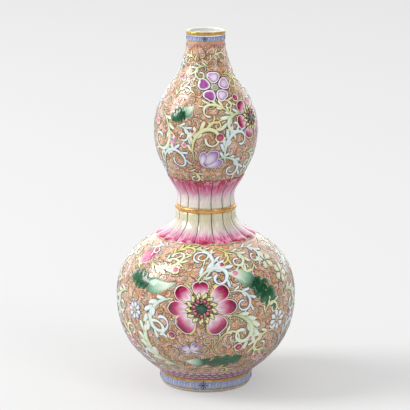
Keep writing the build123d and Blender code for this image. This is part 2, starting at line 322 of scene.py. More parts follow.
# (radius, height) pairs, from the bottom up, of the turned CAD faces that look outwards
# (facing 1) or in towards the axis (facing -1)
def turnedFace(names, facing, step=1.0):
    flattest = 0.15  # the least share of a face's normal that points away from the axis
    found = []
    for name in names:
        mesh = nodes[name].data
        places = np.empty(len(mesh.vertices) * 3)
        mesh.vertices.foreach_get("co", places)
        corners = np.empty(len(mesh.loops), dtype=int)
        mesh.loops.foreach_get("vertex_index", corners)
        triangles = places.reshape(-1, 3)[corners.reshape(-1, 3)]
        normals = np.cross(triangles[:, 1] - triangles[:, 0], triangles[:, 2] - triangles[:, 0])
        centres = triangles.mean(axis=1)
        size = np.linalg.norm(normals, axis=1) * np.hypot(centres[:, 0], centres[:, 1]) + 1e-12
        outward = (normals[:, :2] * centres[:, :2]).sum(axis=1) / size
        found.append(triangles[outward * facing > flattest].reshape(-1, 3))
    found = np.concatenate(found)
    heights, group = np.unique(np.round(found[:, 2], 5), return_inverse=True)
    radii = np.bincount(group, np.hypot(found[:, 0], found[:, 1])) / np.bincount(group)
    count = max(int((heights[-1] - heights[0]) / (step * mm)), 2)
    even = np.linspace(heights[0], heights[-1], count)
    return [(float(np.interp(h, heights, radii)), float(h)) for h in even]


# Painted bands at the foot and the neck: from and to a height in millimetres, and the glaze
bands = {
    "foot": [
        (0.0, 1.2, "white"),
        (1.2, 1.8, "gold"),
        (1.8, 2.8, "white"),
        (2.8, 3.9, "gold"),
        (3.9, 4.4, "blueLine"),
        (4.4, 10.2, "blue"),
        (10.2, 10.6, "blueLine"),
        (10.6, 12.2, "gold"),
        (12.2, 21.5, "rust"),
    ],
    "neck": [
        (313.2, 318.4, "salmon"),
        (318.4, 319.1, "gold"),
        (319.1, 319.5, "blueLine"),
        (319.5, 323.6, "blue"),
        (323.6, 324.5, "blueLine"),
    ],
}


# Steps an outline at the edges of its painted bands and numbers the glaze of each step
def banded(outline, place, between="ground"):
    zones = [(low * mm, high * mm, bandNumber[glazeName]) for low, high, glazeName in bands[place]]
    radii, heights = np.array(outline).T
    edges = {round(float(h), 7) for h in heights}
    for low, high, _ in zones:
        edges |= {round(edge, 7) for edge in (low, high) if heights[0] < edge < heights[-1]}
    made = []
    for height in sorted(edges):
        inside = [number for low, high, number in zones if low - 1e-7 <= height < high - 1e-7]
        number = inside[0] if inside else bandNumber[between]
        made.append((float(np.interp(height, heights, radii)), height, number))
    return made


# Goes on from the top of the painted outside down the white inside, and along the floor
def closedWall(outer, inner, floor=()):
    return outer + [(r, z, bandNumber["white"]) for r, z in inner[::-1] + list(floor)]


def linkPiece(name, data):
    piece = bpy.data.objects.new(name, data)
    bpy.context.collection.objects.link(piece)
    return piece


def pieceFrom(work, name):
    mesh = bpy.data.meshes.new(name)
    work.to_mesh(mesh)
    work.free()
    return linkPiece(name, mesh)


def facesOutward(piece):
    work = bmesh.new()
    work.from_mesh(piece.data)
    bmesh.ops.recalc_face_normals(work, faces=work.faces)
    work.to_mesh(piece.data)
    work.free()


def dress(piece, slot, *replaced):
    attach(piece, "root")
    if replaced:
        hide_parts(*replaced)
    return piece


def cornerRing(work, radius, height, turns):
    angles = [fullTurn * i / turns for i in range(turns)]
    return [work.verts.new((radius * math.sin(a), -radius * math.cos(a), height)) for a in angles]


# Turns a closed outline of (radius, height, material number) about the axis of the vase
def turnPiece(name, outline, materials):
    turns, sharpAngle = 240, 40
    work, rings = bmesh.new(), []
    for radius, height, _ in outline:
        if radius < 1e-6:
            rings.append([work.verts.new((0, 0, height))] * turns)
        else:
            rings.append(cornerRing(work, radius, height, turns))
    for index, (_, _, number) in enumerate(outline):
        here, there = rings[index], rings[(index + 1) % len(rings)]
        if here[0] is here[1] and there[0] is there[1]:
            continue
        for i in range(turns):
            j = (i + 1) % turns
            corners = [here[i], here[j], there[j], there[i]]
            corners = [v for n, v in enumerate(corners) if v not in corners[:n]]
            work.faces.new(corners).material_index = number
    bmesh.ops.remove_doubles(work, verts=work.verts, dist=1e-7)
    bmesh.ops.recalc_face_normals(work, faces=work.faces)
    for face in work.faces:
        face.smooth = True
    for edge in work.edges:
        edge.smooth = len(edge.link_faces) == 2 and edge.calc_face_angle(0) < math.radians(sharpAngle)
    piece = pieceFrom(work, name)
    for material in materials:
        piece.data.materials.append(material)
    return piece


def makeGourds():
    look = {"insideStep": 2.0, "floorRadius": 27, "floorDrop": 0.4, "seatWidth": 7, "seatLift": 0.5}
    lowerNames, upperNames = ["lower_bowl", "lower_shoulder"], ["upper_bowl", "upper_shoulder", "neck"]
    lowerOuter, upperOuter = turnedFace(lowerNames, 1), turnedFace(upperNames, 1)
    lowerInner, upperInner = [turnedFace(names, -1, look["insideStep"]) for names in (lowerNames, upperNames)]
    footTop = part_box("foot_ring")[1][2]
    lowerOuter = [(lowerOuter[0][0], footTop)] + lowerOuter
    floorUp, seatUp = lowerInner[0][1] - look["floorDrop"] * mm, footTop + look["seatLift"] * mm
    nearRim = lowerOuter[0][0] - look["seatWidth"] * mm
    floor = [(look["floorRadius"] * mm, floorUp), (0, floorUp)]
    seat = [(0, seatUp), (nearRim, seatUp), (nearRim, footTop)]
    lower = closedWall(banded(lowerOuter, "foot"), lowerInner, floor + seat)
    upper = closedWall(banded(upperOuter, "neck"), upperInner)
    lowerSlips = ["slip_foot", "slip_lower_belly", "slip_lower_collar"]
    upperSlips = ["slip_upper_collar", "slip_upper_belly", "slip_neck", "slip_lip"]
    glazes = bandGlazes.values()
    dress(turnPiece("lowerGourd", lower, glazes), "peach_enamel", *lowerNames, *lowerSlips)
    dress(turnPiece("upperGourd", upper, glazes), "peach_enamel", *upperNames, *upperSlips)
    return lowerOuter, upperOuter


lowerOutline, upperOutline = makeGourds()
print("gourds turned")


def makeTurnedTrim():
    look = {
        "footSteps": (0.4, 0.6),
        "lipSteps": (0.25, 0.3),
        "ringRound": 1.5,
        "ringFullness": 0.7,
        "crown": (0.2, 0.35, 0.5, 0.65, 0.8),
    }
    outer, inner = [turnedFace(["foot_ring"], side, step) for side, step in zip((1, -1), look["footSteps"])]
    wall = closedWall(banded(outer, "foot", "white"), inner)
    dress(turnPiece("footRing", wall, bandGlazes.values()), "border_enamel", "foot_ring")
    low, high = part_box("waist_ring")
    middle, halfHeight = (low[2] + high[2]) / 2, (high[2] - low[2]) / 2
    bore = turnedFace(["waist_ring"], -1)[0][0]
    swell = look["ringRound"] * mm
    outline = [(bore, low[2], 0)]
    for degrees in range(-90, 91, 15):
        a = math.radians(degrees)
        radius = high[0] - swell + swell * math.cos(a) ** look["ringFullness"]
        outline.append((radius, middle + halfHeight * math.sin(a), 0))
    outline.append((bore, high[2], 0))
    dress(turnPiece("waistRing", outline, [ringGold]), "gilding", "waist_ring")
    outer, inner = [turnedFace(["mouth_lip"], side, step) for side, step in zip((1, -1), look["lipSteps"])]
    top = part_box("mouth_lip")[1][2]
    (edge, shoulder), width = outer[-1], outer[-1][0] - inner[-1][0]
    crown = [(edge - width * s, top - (top - shoulder) * (2 * s - 1) ** 2) for s in look["crown"]]
    outline = [(r, z, 0) for r, z in outer + crown] + [(r, z, 1) for r, z in inner[::-1]]
    dress(turnPiece("mouthLip", outline, [bandGlazes["gold"], bandGlazes["white"]]), "gilding", "mouth_lip")


makeTurnedTrim()
print("foot, ring and lip turned")


# Repeats what it is given round the axis of the vase
def makeRepeatGroup():
    inputs = {
        "Geometry": ("Geometry", None),
        "Count": ("Int", 15),
        "Merge distance": ("Float", 1e-6),
        "Material": ("Material", None),
    }
    tree, given, result = newGroup("repeatRoundTheAxis", "GeometryNodeTree", inputs, {"Geometry": "Geometry"})
    points = addNode(tree, "GeometryNodePoints", {"Count": given["Count"]}).outputs[0]
    step = maths(tree, "DIVIDE", fullTurn, given["Count"])
    turn = maths(tree, "MULTIPLY", addNode(tree, "GeometryNodeInputIndex").outputs[0], step)
    turned = addNode(tree, "ShaderNodeCombineXYZ", {"Z": turn}).outputs[0]
    parts = {"Points": points, "Instance": given["Geometry"], "Rotation": turned}
    copies = addNode(tree, "GeometryNodeInstanceOnPoints", parts).outputs[0]
    real = addNode(tree, "GeometryNodeRealizeInstances", {"Geometry": copies}).outputs[0]
    parts = {"Geometry": real, "Distance": given["Merge distance"]}
    merged = addNode(tree, "GeometryNodeMergeByDistance", parts).outputs[0]
    parts = {"Geometry": merged, "Material": given["Material"]}
    feed(tree, result, {"Geometry": addNode(tree, "GeometryNodeSetMaterial", parts).outputs[0]})
    return tree


# Runs a node group on a piece and keeps the result as a plain mesh
def growPiece(piece, group, values):
    modifier = piece.modifiers.new(group.name, "NODES")
    modifier.node_group = group
    for item in group.interface.items_tree:
        if item.item_type == "SOCKET" and item.in_out == "INPUT" and item.name in values:
            modifier[item.identifier] = values[item.name]
    ready = piece.evaluated_get(bpy.context.evaluated_depsgraph_get())
    mesh = bpy.data.meshes.new_from_object(ready)
    piece.modifiers.remove(modifier)
    plain = piece.data
    piece.data = mesh
    bpy.data.meshes.remove(plain)
    mesh.name = piece.name
    return piece


repeatGroup = makeRepeatGroup()

collars = {
    "lowerPetalCollar": {
        "replaces": ("lower_petal_collar", "slip_waist"),
        "rows": 26,
        "grooveDepth": (0.5, 0.75),
        "puff": 1.15,
        "scallop": (1.9, 2.4),
        "bead": 0.45,
        "border": "#eadfb2",
        "colours": "0 #e0dab0 0.3 #e4dcc2 0.5 #e4d4ce 0.64 #e3abc2 0.75 #d8669a 0.88 #cf4078 1 #c03060",
    },
    "upperPetalCollar": {
        "replaces": ("upper_petal_collar",),
        "rows": 24,
        "grooveDepth": (0.45, 0.6),
        "puff": 0.25,
        "scallop": (0.25, 3.0),
        "bead": 0.25,
        "border": "#a5345a",
        "colours": "0 #ece6d4 0.2 #efe4dc 0.36 #eccfd8 0.52 #e4a0bd 0.72 #da5c92 0.88 #c62a68 1 #b42256",
    },
}
petalCount = 15
petalTurn = -1.5
petalSteps = [-1, -0.985, -0.95, -0.88, -0.75, -0.55, -0.28, 0, 0.28, 0.55, 0.75, 0.88, 0.95, 0.985, 1]


# The crown of a petal from the ring to the hem, read off the CAD collar, and the wall behind
def readCollar(name):
    mesh = nodes[name].data
    tree = BVHTree.FromPolygons([v.co for v in mesh.vertices], [p.vertices for p in mesh.polygons])
    turn = math.radians(petalTurn)
    out = Vector((math.sin(turn), -math.cos(turn), 0))
    low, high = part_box(name)
    outside, inside = [], []
    for level in np.linspace(low[2] + 0.01 * mm, high[2] - 0.01 * mm, 160):
        axis = Vector((0, 0, level))
        for start, way, found in ((out * 0.2 + axis, -out, outside), (axis, out, inside)):
            hit = tree.ray_cast(start, way)[0]
            found.append((math.hypot(hit.x, hit.y), level))
    return outside, inside


def makeCollar(name, look):
    outside, inside = readCollar(look["replaces"][0])
    ringLow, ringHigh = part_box("waist_ring")
    below = inside[0][1] < (ringLow[2] + ringHigh[2]) / 2
    edge = ringLow[2] if below else ringHigh[2]
    crown = [p for p in outside if (p[1] < edge) == below]
    crown = np.array(crown[::-1] if below else crown)
    crown[0, 1] = edge
    arc = np.concatenate([[0], np.cumsum(np.hypot(*np.diff(crown, axis=0).T))])
    length = arc[-1]
    wall = [p for p in inside if p[0] < crown[-1][0] - 0.3 * mm]
    wall = list(np.array(wall if below else wall[::-1])[::4])
    rebate = -ringLow[0] - 2.4 * mm  # how far in the wall goes behind the ring
    behindRing = wall + [(rebate, wall[-1][1]), (rebate, edge)]
    scallop, scallopPower = look["scallop"]
    shallow, deep = look["grooveDepth"]
    bead = look["bead"] * mm
    work = bmesh.new()
    along, rib, hem, aside = [work.verts.layers.float.new(word) for word in ("along", "rib", "hem", "across")]
    columns = []

    def onCrown(station):
        return np.array([np.interp(station, arc, row) for row in crown.T])

    for u in petalSteps:
        angle = math.radians(petalTurn + u * 180 / petalCount)
        column = []

        def put(spot, alongHere, ribHere, hemHere):
            radius, height = spot
            vertex = work.verts.new((radius * math.sin(angle), -radius * math.cos(angle), height))
            vertex[along], vertex[rib], vertex[hem] = alongHere, ribHere, hemHere
            vertex[aside] = u * math.pi / petalCount * radius * 100
            column.append(vertex)

        end = length - scallop * mm * abs(u) ** scallopPower - bead
        shares = np.linspace(0, 1, look["rows"]) ** 0.85
        stations = [share * end for share in shares[:-1]] + [end - 0.12 * mm, end]
        for station in stations:
            share, here = station / length, onCrown(station)
            tangent = onCrown(min(station + 0.4 * mm, length)) - onCrown(max(station - 0.4 * mm, 0))
            tangent = tangent / np.linalg.norm(tangent)
            normal = np.array([-tangent[1], tangent[0]]) * (1 if below else -1)
            sink = (shallow + (deep - shallow) * share**2) * (0.45 * u * u + 0.55 * abs(u) ** 9)
            puff = look["puff"] * math.exp(-(((share - 0.89) / 0.1) ** 2)) * (1 - abs(u) ** 3)
            last = here + normal * (puff - sink) * mm
            ribHere = (1 - abs(u)) * math.pi / petalCount * here[0] * 100
            put(last, share, ribHere, 1.0 if station == end else 0.0)
        for degrees in (60, 30, 0, -30, -60, -90):
            a = math.radians(degrees)
            put(last - normal * bead + (tangent * math.cos(a) + normal * math.sin(a)) * bead, 1.0, 1.0, 1.0)
        for spot in behindRing:
            put(spot, 0.0, 1.0, 0.0)
        columns.append(column)
    for here, there in zip(columns, columns[1:]):
        for i in range(len(here)):
            j = (i + 1) % len(here)
            work.faces.new([here[i], there[i], there[j], here[j]]).smooth = True
    piece = pieceFrom(work, name)
    words = look["colours"].split()
    stops = [(float(place), colour) for place, colour in zip(words[::2], words[1::2])]
    material = makePetalMaterial(name + "Enamel", stops, look["border"])
    growPiece(piece, repeatGroup, {"Count": petalCount, "Merge distance": 1e-6, "Material": material})
    facesOutward(piece)
    return dress(piece, "petal_enamel", *look["replaces"])


for collarName, collarLook in collars.items():
    makeCollar(collarName, collarLook)
print("petal collars made")


# The outer face of a gourd unrolled: the distance up the wall against radius and height
class Wall:
    def __init__(self, outline):
        pairs = np.array([p[:2] for p in outline])
        self.radius, self.height = pairs.T
        self.arc = np.concatenate([[0], np.cumsum(np.hypot(*np.diff(pairs, axis=0).T))])
        slope = np.gradient(pairs, self.arc, axis=0)
        self.outR, self.outZ = slope[:, 1], -slope[:, 0]

    def place(self, azimuth, arc, lift):
        rows = (self.radius, self.height, self.outR, self.outZ)
        r, z, outR, outZ = [np.interp(arc, self.arc, row) for row in rows]
        r, z = r + outR * lift, z + outZ * lift
        return np.column_stack([r * np.sin(azimuth), -r * np.cos(azimuth), z])

    # Millimetres right and up from one azimuth and height to another
    def way(self, azimuth, height, toAzimuth, toHeight):
        start, end = np.interp([height * mm, toHeight * mm], self.height, self.arc)
        radius = np.interp(end, self.arc, self.radius)
        return np.array([math.radians(toAzimuth - azimuth) * radius, end - start]) / mm

    # A place to draw at: takes millimetres right and up of it, and the lift off the wall
    def spot(self, azimuth, height, turn=0.0, size=1.0):
        start = np.interp(height * mm, self.height, self.arc)
        c, s = math.cos(math.radians(turn)), math.sin(math.radians(turn))

        def toWall(points, lift):
            x, y = points[:, 0] * size, points[:, 1] * size
            x, y = x * c - y * s, x * s + y * c
            arc = start + y * mm
            around = math.radians(azimuth) + x * mm / np.interp(arc, self.arc, self.radius)
            return self.place(around, arc, lift * mm)

        return toWall


lowerWall, upperWall = Wall(lowerOutline), Wall(upperOutline)


# Gathers closed shapes of raised enamel, with a colour at each corner, into one piece. Each
# shape lies a little higher than the one before it, in turns, so that none fight for a place
class EnamelPiece:
    def __init__(self, name):
        self.name, self.places, self.colours, self.faces = name, [], [], []
        self.count, self.layer = 0, 0.0

    def add(self, spot, points, lifts, colours, faces):
        self.layer = (self.layer + 0.013) % 0.12
        raised = np.where(lifts > 0, lifts + self.layer, lifts)
        self.places.append(spot(points, raised))
        self.colours.append(colours)
        self.faces += [[corner + self.count for corner in face] for face in faces]
        self.count += len(points)

    def build(self):
        mesh = bpy.data.meshes.new(self.name)
        mesh.from_pydata(np.concatenate(self.places).tolist(), [], self.faces)
        paint = mesh.attributes.new("enamel", "FLOAT_COLOR", "POINT")
        paint.data.foreach_set("color", np.concatenate(self.colours).ravel())
        mesh.materials.append(enamelMaterial)
        mesh.polygons.foreach_set("use_smooth", [True] * len(mesh.polygons))
        piece = linkPiece(self.name, mesh)
        facesOutward(piece)
        return piece

    def finish(self, slot="raised_enamel", copies=0):
        piece = self.build()
        if copies:
            values = {"Count": copies, "Merge distance": 1e-7, "Material": enamelMaterial}
            growPiece(piece, repeatGroup, values)
        return dress(piece, slot)


# Colours along something, from evenly spaced colour codes
def shades(codes, shares):
    table = np.array([tint(code) for code in codes])
    places = np.linspace(0, 1, len(codes))
    return np.column_stack([np.interp(shares, places, table[:, channel]) for channel in range(4)])


# A line that sets off at a heading and bends more and more, in degrees and degrees per mm
def sweep(start, heading, length, bend, bendEnd, count=24, power=2.0):
    s = np.linspace(0, 1, count)
    angle = np.radians(heading + length * (bend * s + (bendEnd - bend) * s ** (power + 1) / (power + 1)))
    middle = (angle[1:] + angle[:-1]) / 2
    steps = np.column_stack([np.cos(middle), np.sin(middle)]) * (length / (count - 1))
    return np.concatenate([[start], start + np.cumsum(steps, axis=0)]), np.degrees(angle)


def along(start, heading, length):
    a = math.radians(heading)
    return np.array([start[0] + math.cos(a) * length, start[1] + math.sin(a) * length])


# How a stroke is shaped across, from its outline to its middle: the share of the half width
# kept, the width of the dark edge taken off, and the lift. Below zero it goes into the glaze
strokeRows = [(1, 0, -0.12), (0.97, 0, 0.16), (1, 1, 0.24), (1, 1.2, 0.6), (0.34, 0, 1.0)]


# A brush stroke in relief along a line. The profile gives half widths on the way, as pairs
# of share and width, or a (left, right) pair of widths for each point of the line
def stroke(piece, spot, line, profile, paint, height=0.22, slim=False, base=0.0):
    line = np.asarray(line, dtype=float)
    share = np.concatenate([[0], np.cumsum(np.hypot(*np.diff(line, axis=0).T))])
    share /= share[-1]
    if isinstance(profile, list):
        left = right = np.interp(share, *np.array(profile, dtype=float).T)
    else:
        left, right = profile.T
    ahead = np.gradient(line, axis=0)
    ahead /= np.linalg.norm(ahead, axis=1)[:, None] + 1e-9
    aside = np.column_stack([-ahead[:, 1], ahead[:, 0]])
    rise = np.minimum(height, np.minimum(left, right) * 0.7 + 0.06)
    leftEdge, rightEdge = [np.minimum(paint["edgeWidth"], half * 0.4) for half in (left, right)]
    offsets = [left * kept - leftEdge * off for kept, off, _ in strokeRows]
    offsets += [rightEdge * off - right * kept for kept, off, _ in strokeRows[::-1]]
    lifts = [lift for _, _, lift in strokeRows + strokeRows[::-1]]
    edge, side, middle = [shades(paint[part], share) for part in ("edge", "side", "middle")]
    tones = [edge, edge, edge, side, middle, middle, side, edge, edge, edge]
    if slim:
        offsets, lifts, tones = [[row[k] for k in (0, 2, 4, 7, 9)] for row in (offsets, lifts, tones)]
        offsets[2] = left * 0
    count, wide = len(line), len(offsets)
    points = np.stack([line + aside * offset[:, None] for offset in offsets], axis=1).reshape(-1, 2)
    raised = [np.full(count, lift) if lift < 0 else base + rise * lift for lift in lifts]
    raised = np.stack(raised, axis=1).ravel()
    faces = []
    for i in range(count - 1):
        a, b = i * wide, (i + 1) * wide
        faces += [[a + k, b + k, b + k + 1, a + k + 1] for k in range(wide - 1)]
        faces.append([a, a + wide - 1, b + wide - 1, b])
    faces.append(list(range(wide)))
    faces.append([(count - 1) * wide + k for k in reversed(range(wide))])
    piece.add(spot, points, raised, np.stack(tones, axis=1).reshape(-1, 4), faces)


# A filled shape in relief. Each ring steps in from the outline towards the middle by a
# length or a share of the way, whichever is more, and has its lift and its colours from
# the root to the tip
def fill(piece, spot, outline, middle, rings, root, tip, height=0.35, base=0.0):
    outline, middle, root, tip = [np.asarray(p, dtype=float) for p in (outline, middle, root, tip)]
    inward = middle - outline
    reach = np.linalg.norm(inward, axis=1) + 1e-9
    axis = tip - root
    blendFrom, blendOver = 0.22, 0.7  # where the root's colour gives way to the tip's
    points, raised, colours = [], [], []
    for inset, share, lift, *tones in rings:
        t = np.clip(np.maximum(share, inset / reach), 0, 0.96)
        points.append(outline + inward * t[:, None])
        raised.append(np.full(len(outline), base + lift * height * 0.7 if lift > 0 else -0.12))
        up = np.clip(((points[-1] - root) @ axis / (axis @ axis) - blendFrom) / blendOver, 0, 1)
        colours.append(shades(tones, up * up * (3 - 2 * up)))
    points.append(middle[None])
    raised.append([base + height * 0.7])
    colours.append(shades(rings[-1][3:], [0.2]))
    count, last = len(outline), len(rings) - 1
    faces = [list(reversed(range(count)))]
    for k in range(last):
        for i in range(count):
            j = (i + 1) % count
            faces.append([k * count + i, k * count + j, (k + 1) * count + j, (k + 1) * count + i])
    centre = len(rings) * count
    faces += [[last * count + i, last * count + (i + 1) % count, centre] for i in range(count)]
    piece.add(spot, np.concatenate(points), np.concatenate(raised), np.concatenate(colours), faces)


# Outline of a petal whose root is at the start and whose axis has a heading. A positive
# point draws the tip out and a negative one notches it
def petalShape(start, heading, length, width, point, full):
    corners, tipSpan = 26, 0.34
    turn = np.linspace(0, fullTurn, corners, endpoint=False)
    up = (1 - np.cos(turn)) / 2
    tipShare = np.exp(-(((turn - math.pi) / tipSpan) ** 2))
    y = length * (up + point * tipShare)
    x = width / 2 * np.sin(turn) * ((1 - full) + full * up) * 1.25 * (1 - np.maximum(point, 0) * tipShare)
    a = math.radians(heading - 90)
    return np.column_stack([x * math.cos(a) - y * math.sin(a), x * math.sin(a) + y * math.cos(a)]) + start


# Tones of a stroke from its start to its end, for its dark edge, its sides and its middle
def paint(edge, side, middle, edgeWidth=0.62):
    return {"edge": edge.split(), "side": side.split(), "middle": middle.split(), "edgeWidth": edgeWidth}


paints = {
    "mint": paint("#31381c #353f2a", "#8f9c58 #c4d8ae #d6ecdf", "#bcc880 #eef6dc #fafdfa"),
    "blue": paint("#2f3a24 #2f3a4c", "#90a874 #b0d0e6 #b8d6f2", "#cfe0b8 #eef6fb #fafcfe"),
    "cream": paint("#3c391c #413c22", "#a09c56 #dedc98 #e8eabf", "#d2cf84 #f8f5cc #fcfbec"),
    "yellow": paint("#443c18 #4c4220", "#ab9a40 #dccc60 #e4dc8c", "#d8ca6c #f4eca4 #f8f4cc"),
    "olive": paint("#4e5426", "#6e7236 #7f8440", "#8a8c48 #9a9c58", 0.3),
    "stem": paint("#2f3214", "#7e8040 #9a9c54", "#b4b26a #c6c684", 0.4),
    "darkLeaf": paint("#1c5a38 #27643e", "#0a5434 #0e643c #1c7048", "#07482a #0a5832 #12663c", 0.5),
    "paleLeaf": paint(
        "#1f6a48 #6f9c78", "#0c5436 #84b894 #d6e6ce #7fae84", "#14603e #acd4b4 #f0f4e6 #b8d4b0", 0.4
    ),
    "vein": paint("#4c8c68", "#4c8c68", "#5c9a76", 0.08),
    "curlPale": paint("#4a3a1c", "#e8c8a4", "#f6e4ca #ecd2b2", 0.4),
    "curlWarm": paint("#463414", "#dc9654", "#f4b070 #e69e64", 0.4),
    "fleckOlive": paint("#3a3c1a", "#6c7438 #88904c", "#7c8444 #a0a662", 0.3),
    "fleckRose": paint("#5a1c2c", "#9c3c50 #c06a70", "#b45064 #d48a88", 0.3),
    "fleckPearl": paint("#5c4c34", "#e6dccc #dde6ea", "#faf4ea #f6fafc", 0.36),
    "rosyVein": paint("#e0a0c0 #b02060", "#e0a0c0 #a01850", "#e0a0c0 #a01850", 0.05),
    "lilacVein": paint("#9a5ab0 #8a4aa0", "#9a5ab0 #8a4aa0", "#a870bc", 0.05),
    "stamen": paint("#7c1c40", "#a83460", "#cc6c8c"),
    "fret": paint("#4a60a8", "#4a60a8", "#5a70b6", 0.1),
    "mauve": paint("#5c2c44", "#7a3a58", "#8e4a68", 0.12),
}

scrollLook = {
    "points": 48,
    "bendAtStart": 0.3,
    "shadePoints": (14, 40),
    "lobeReach": 5.6,
    "lobeHalf": 1.24,
    "lobesFrom": 0.1,
    "lobesOver": 0.58,
    "lobe": [(0, 0.6), (0.45, 1.0), (0.8, 1.0), (0.94, 0.65)],
    "line": [
        (0, 0.4), (0.15, 0.8), (0.4, 1.25), (0.66, 1.0),
        (0.84, 0.6), (0.94, 0.95), (0.99, 0.85), (1, 0.25),
    ],
}


# An acanthus scroll: a tapering line that ends in a curl at the goal, with leafy lobes along
# its outside and an olive shade inside
def acanthus(piece, spot, goal, paintName, turns, lobes, thick, power):
    look, tones = scrollLook, paints[paintName]
    first = look["bendAtStart"]
    last = first + (power + 1) * (1 - first)
    count = look["points"]
    shape, _ = sweep((0, 0), 0, 1.0, turns * first, turns * last, count, power)
    length = np.hypot(*goal) / np.hypot(*shape[-1])
    heading = math.degrees(math.atan2(goal[1], goal[0]) - math.atan2(shape[-1][1], shape[-1][0]))
    line, turned = sweep((0, 0), heading, length, turns * first / length, turns * last / length, count, power)
    inner = 1 if turns > 0 else -1
    reach = thick * look["lobeReach"]
    if lobes:
        inside = [along(line[i], turned[i] + inner * 90, thick * 0.8) for i in range(*look["shadePoints"])]
        stroke(piece, spot, inside, [(0, 0.1), (0.4, thick * 0.9), (1, 0.1)], paints["olive"], 0.14, True)
    for k in range(lobes):
        share = look["lobesFrom"] + look["lobesOver"] * k / max(lobes - 1, 1)
        at = int(share * (count - 1))
        size = 1.0 - 0.9 * abs(share - 0.34)
        out = turned[at] - inner * (34 + 24 * share)
        lobe, _ = sweep(line[at], out, reach * size, inner * 5.0, -inner * 150 / reach, 11)
        half = thick * look["lobeHalf"] * size
        widths = [(place, half * width) for place, width in look["lobe"]] + [(1, 0.2)]
        stroke(piece, spot, lobe, widths, tones)
        if k == lobes // 3:
            away, bendEnd = turned[at] + inner * 36, inner * 110 / reach
            back, _ = sweep(line[at], away, reach * 0.7, -inner * 3.0, bendEnd, 10)
            stroke(piece, spot, back, widths, tones)
    widths = [(place, thick * width) for place, width in look["line"]]
    stroke(piece, spot, line, widths, tones, 0.27 if lobes else 0.12)


# Rings for a petal: dark outline, pale border, then three tones inwards at the root and tip,
# or one tone for all three
def petalRings(edge, border, roots, tips, borderWidth=0.0, edgeWidth=0.2, between=()):
    roots, tips = [(tones.split() * 3)[:3] for tones in (roots, tips)]
    rings = [(0, 0, -1, edge, edge), (0.06, 0, 0.3, edge, edge), (edgeWidth, 0, 0.4, edge, edge)]
    if borderWidth:
        for step, lift in ((0.12, 0.62), (borderWidth, 0.8)):
            rings.append((edgeWidth + step, 0, lift, border, border))
    inner = edgeWidth + borderWidth + 0.2
    steps = [(inner, 0, 0.82, 0), (inner, 0.2, 0.9, 0), (inner, 0.44, 0.95, 1), (0, 0.7, 1.0, 2)]
    return rings + [(inset, share, lift, roots[i], *between, tips[i]) for inset, share, lift, i in steps]


# Edge, border, tones at the root and at the tip, border width and edge width
petalColours = {
    "lotus": (
        "#2c1018", "#fbe8e4", "#eeb4ce #fbeaf1 #fffafc", "#6e0022 #86002c #9c0a40", 0.85, 0.68, ("#d4307c",)
    ),
    "lily": ("#2c1c38", "#fbf6fb", "#7c2a74 #c489c4 #eedcf0", "#c08cca #dab8e2 #efe2f2", 0.8, 0.62),
    "deepLily": ("#2c1c38", "#fbf6fb", "#ecd8ee #c878c2 #a63c9c", "#5c0e54 #86267c #c070b6", 0.8, 0.62),
    "lilyHeart": ("#8a6a8a", "#e9dfe6", "#8f9a70", "#a8b08c", 0.5, 0.25),
    "white": ("#2f3844", "#fafcfc", "#a8b6d4 #e2e8f2 #f8fafb", "#e4eaf4 #f6f8fa #fdfdfd", 0.3, 0.58),
    "blueWhite": ("#26365c", "#f2f6fb", "#7c98d8 #bccef0 #ecf2fa", "#d0def4 #eef3fa #fafcfe", 0.3, 0.58),
    "daisyHeart": ("#7a5a50", "", "#c9b04e", "#e4c9a0"),
    "green": ("#3a4220", "#f8fae2", "#b6c274 #d6e2a4 #eef2cc", "#c6d288 #e2eab0 #f4f6d4", 0.4, 0.58),
    "leaflet": ("#2e2c10", "", "#c4bc5c #e2dc84 #f6f2bc", "#dcd67a #f0eaa0 #faf6ca", 0.0, 0.5),
    "pink": ("#481630", "#fdeaea", "#fadbe4 #f0b0c8 #e07aa4", "#a80c4c #d03474 #ea86ac", 0.5, 0.56),
    "lilac": ("#2c2044", "#faf4fb", "#b898da #e0d2ee #fbf7fc", "#7c2c8c #a468bc #d8c0e4", 0.6, 0.56),
    "magnolia": ("#2c2044", "#faf4fb", "#c4acdc #e6dcf0 #fbf8fc", "#9a64ae #c4a6d6 #e8dcf0", 0.6, 0.56),
    "crimson": ("#2c0814", "#f6d4da", "#98043a #b41850 #d85c88", "#6c0024 #880430 #b02458", 0.4, 0.56),
    # bead: the pale pink tip tones paint a highlight on the upper middle of each bead
    "bead": ("#28060f", "", "#620018 #980838 #cc4474", "#80062c #b42458 #f4bccc", 0.0, 0.4),
    "heart": ("#0a241a", "", "#0c3c28 #124a32 #1a5840", "#0a3824 #124a32 #1c5c42", 0.0, 0.3),
    "seed": ("#1c5a44", "", "#3c8a6a", "#4c9c7c", 0.0, 0.1),
    "lappet": ("#5a2440", "", "#c88aa4 #d8b0c6 #e6cfdc", "#dcb6cc #e4c8d8 #efdde6", 0.0, 0.5),
    "deepLappet": ("#5a2440", "", "#b0587c #cc88a4 #dcaec2", "#cc94b0 #dcb4c8 #ead0dc", 0.0, 0.5),
    "rosette": ("#16244c", "", "#1c2f66", "#263c7a"),
}
petalTones = {name: petalRings(*colours) for name, colours in petalColours.items()}


def petal(
    piece, spot, start, heading, length, width, tone, point=0.0, full=0.6, middle=0.42, height=0.35, base=0.0
):
    outline = petalShape(start, heading, length, width, point, full)
    centre, tip = along(start, heading, length * middle), along(start, heading, length)
    fill(piece, spot, outline, centre, petalTones[tone], start, tip, height, base)


# A round spot, coloured from its root tones at the bottom to its tip tones at the top, with its middle a
# little above the centre. For the beads this paints a pale highlight on the upper part
def disc(piece, spot, centre, radius, tone, height=0.35, count=20, base=0.0):
    turn = np.linspace(0, fullTurn, count, endpoint=False)
    outline = np.column_stack([np.cos(turn), np.sin(turn)]) * radius + centre
    low, high = np.array(centre) - (0, radius), np.array(centre) + (0, radius)
    top = np.array(centre) + (0, radius * 0.15)
    fill(piece, spot, outline, top, petalTones[tone], low, high, height, base)


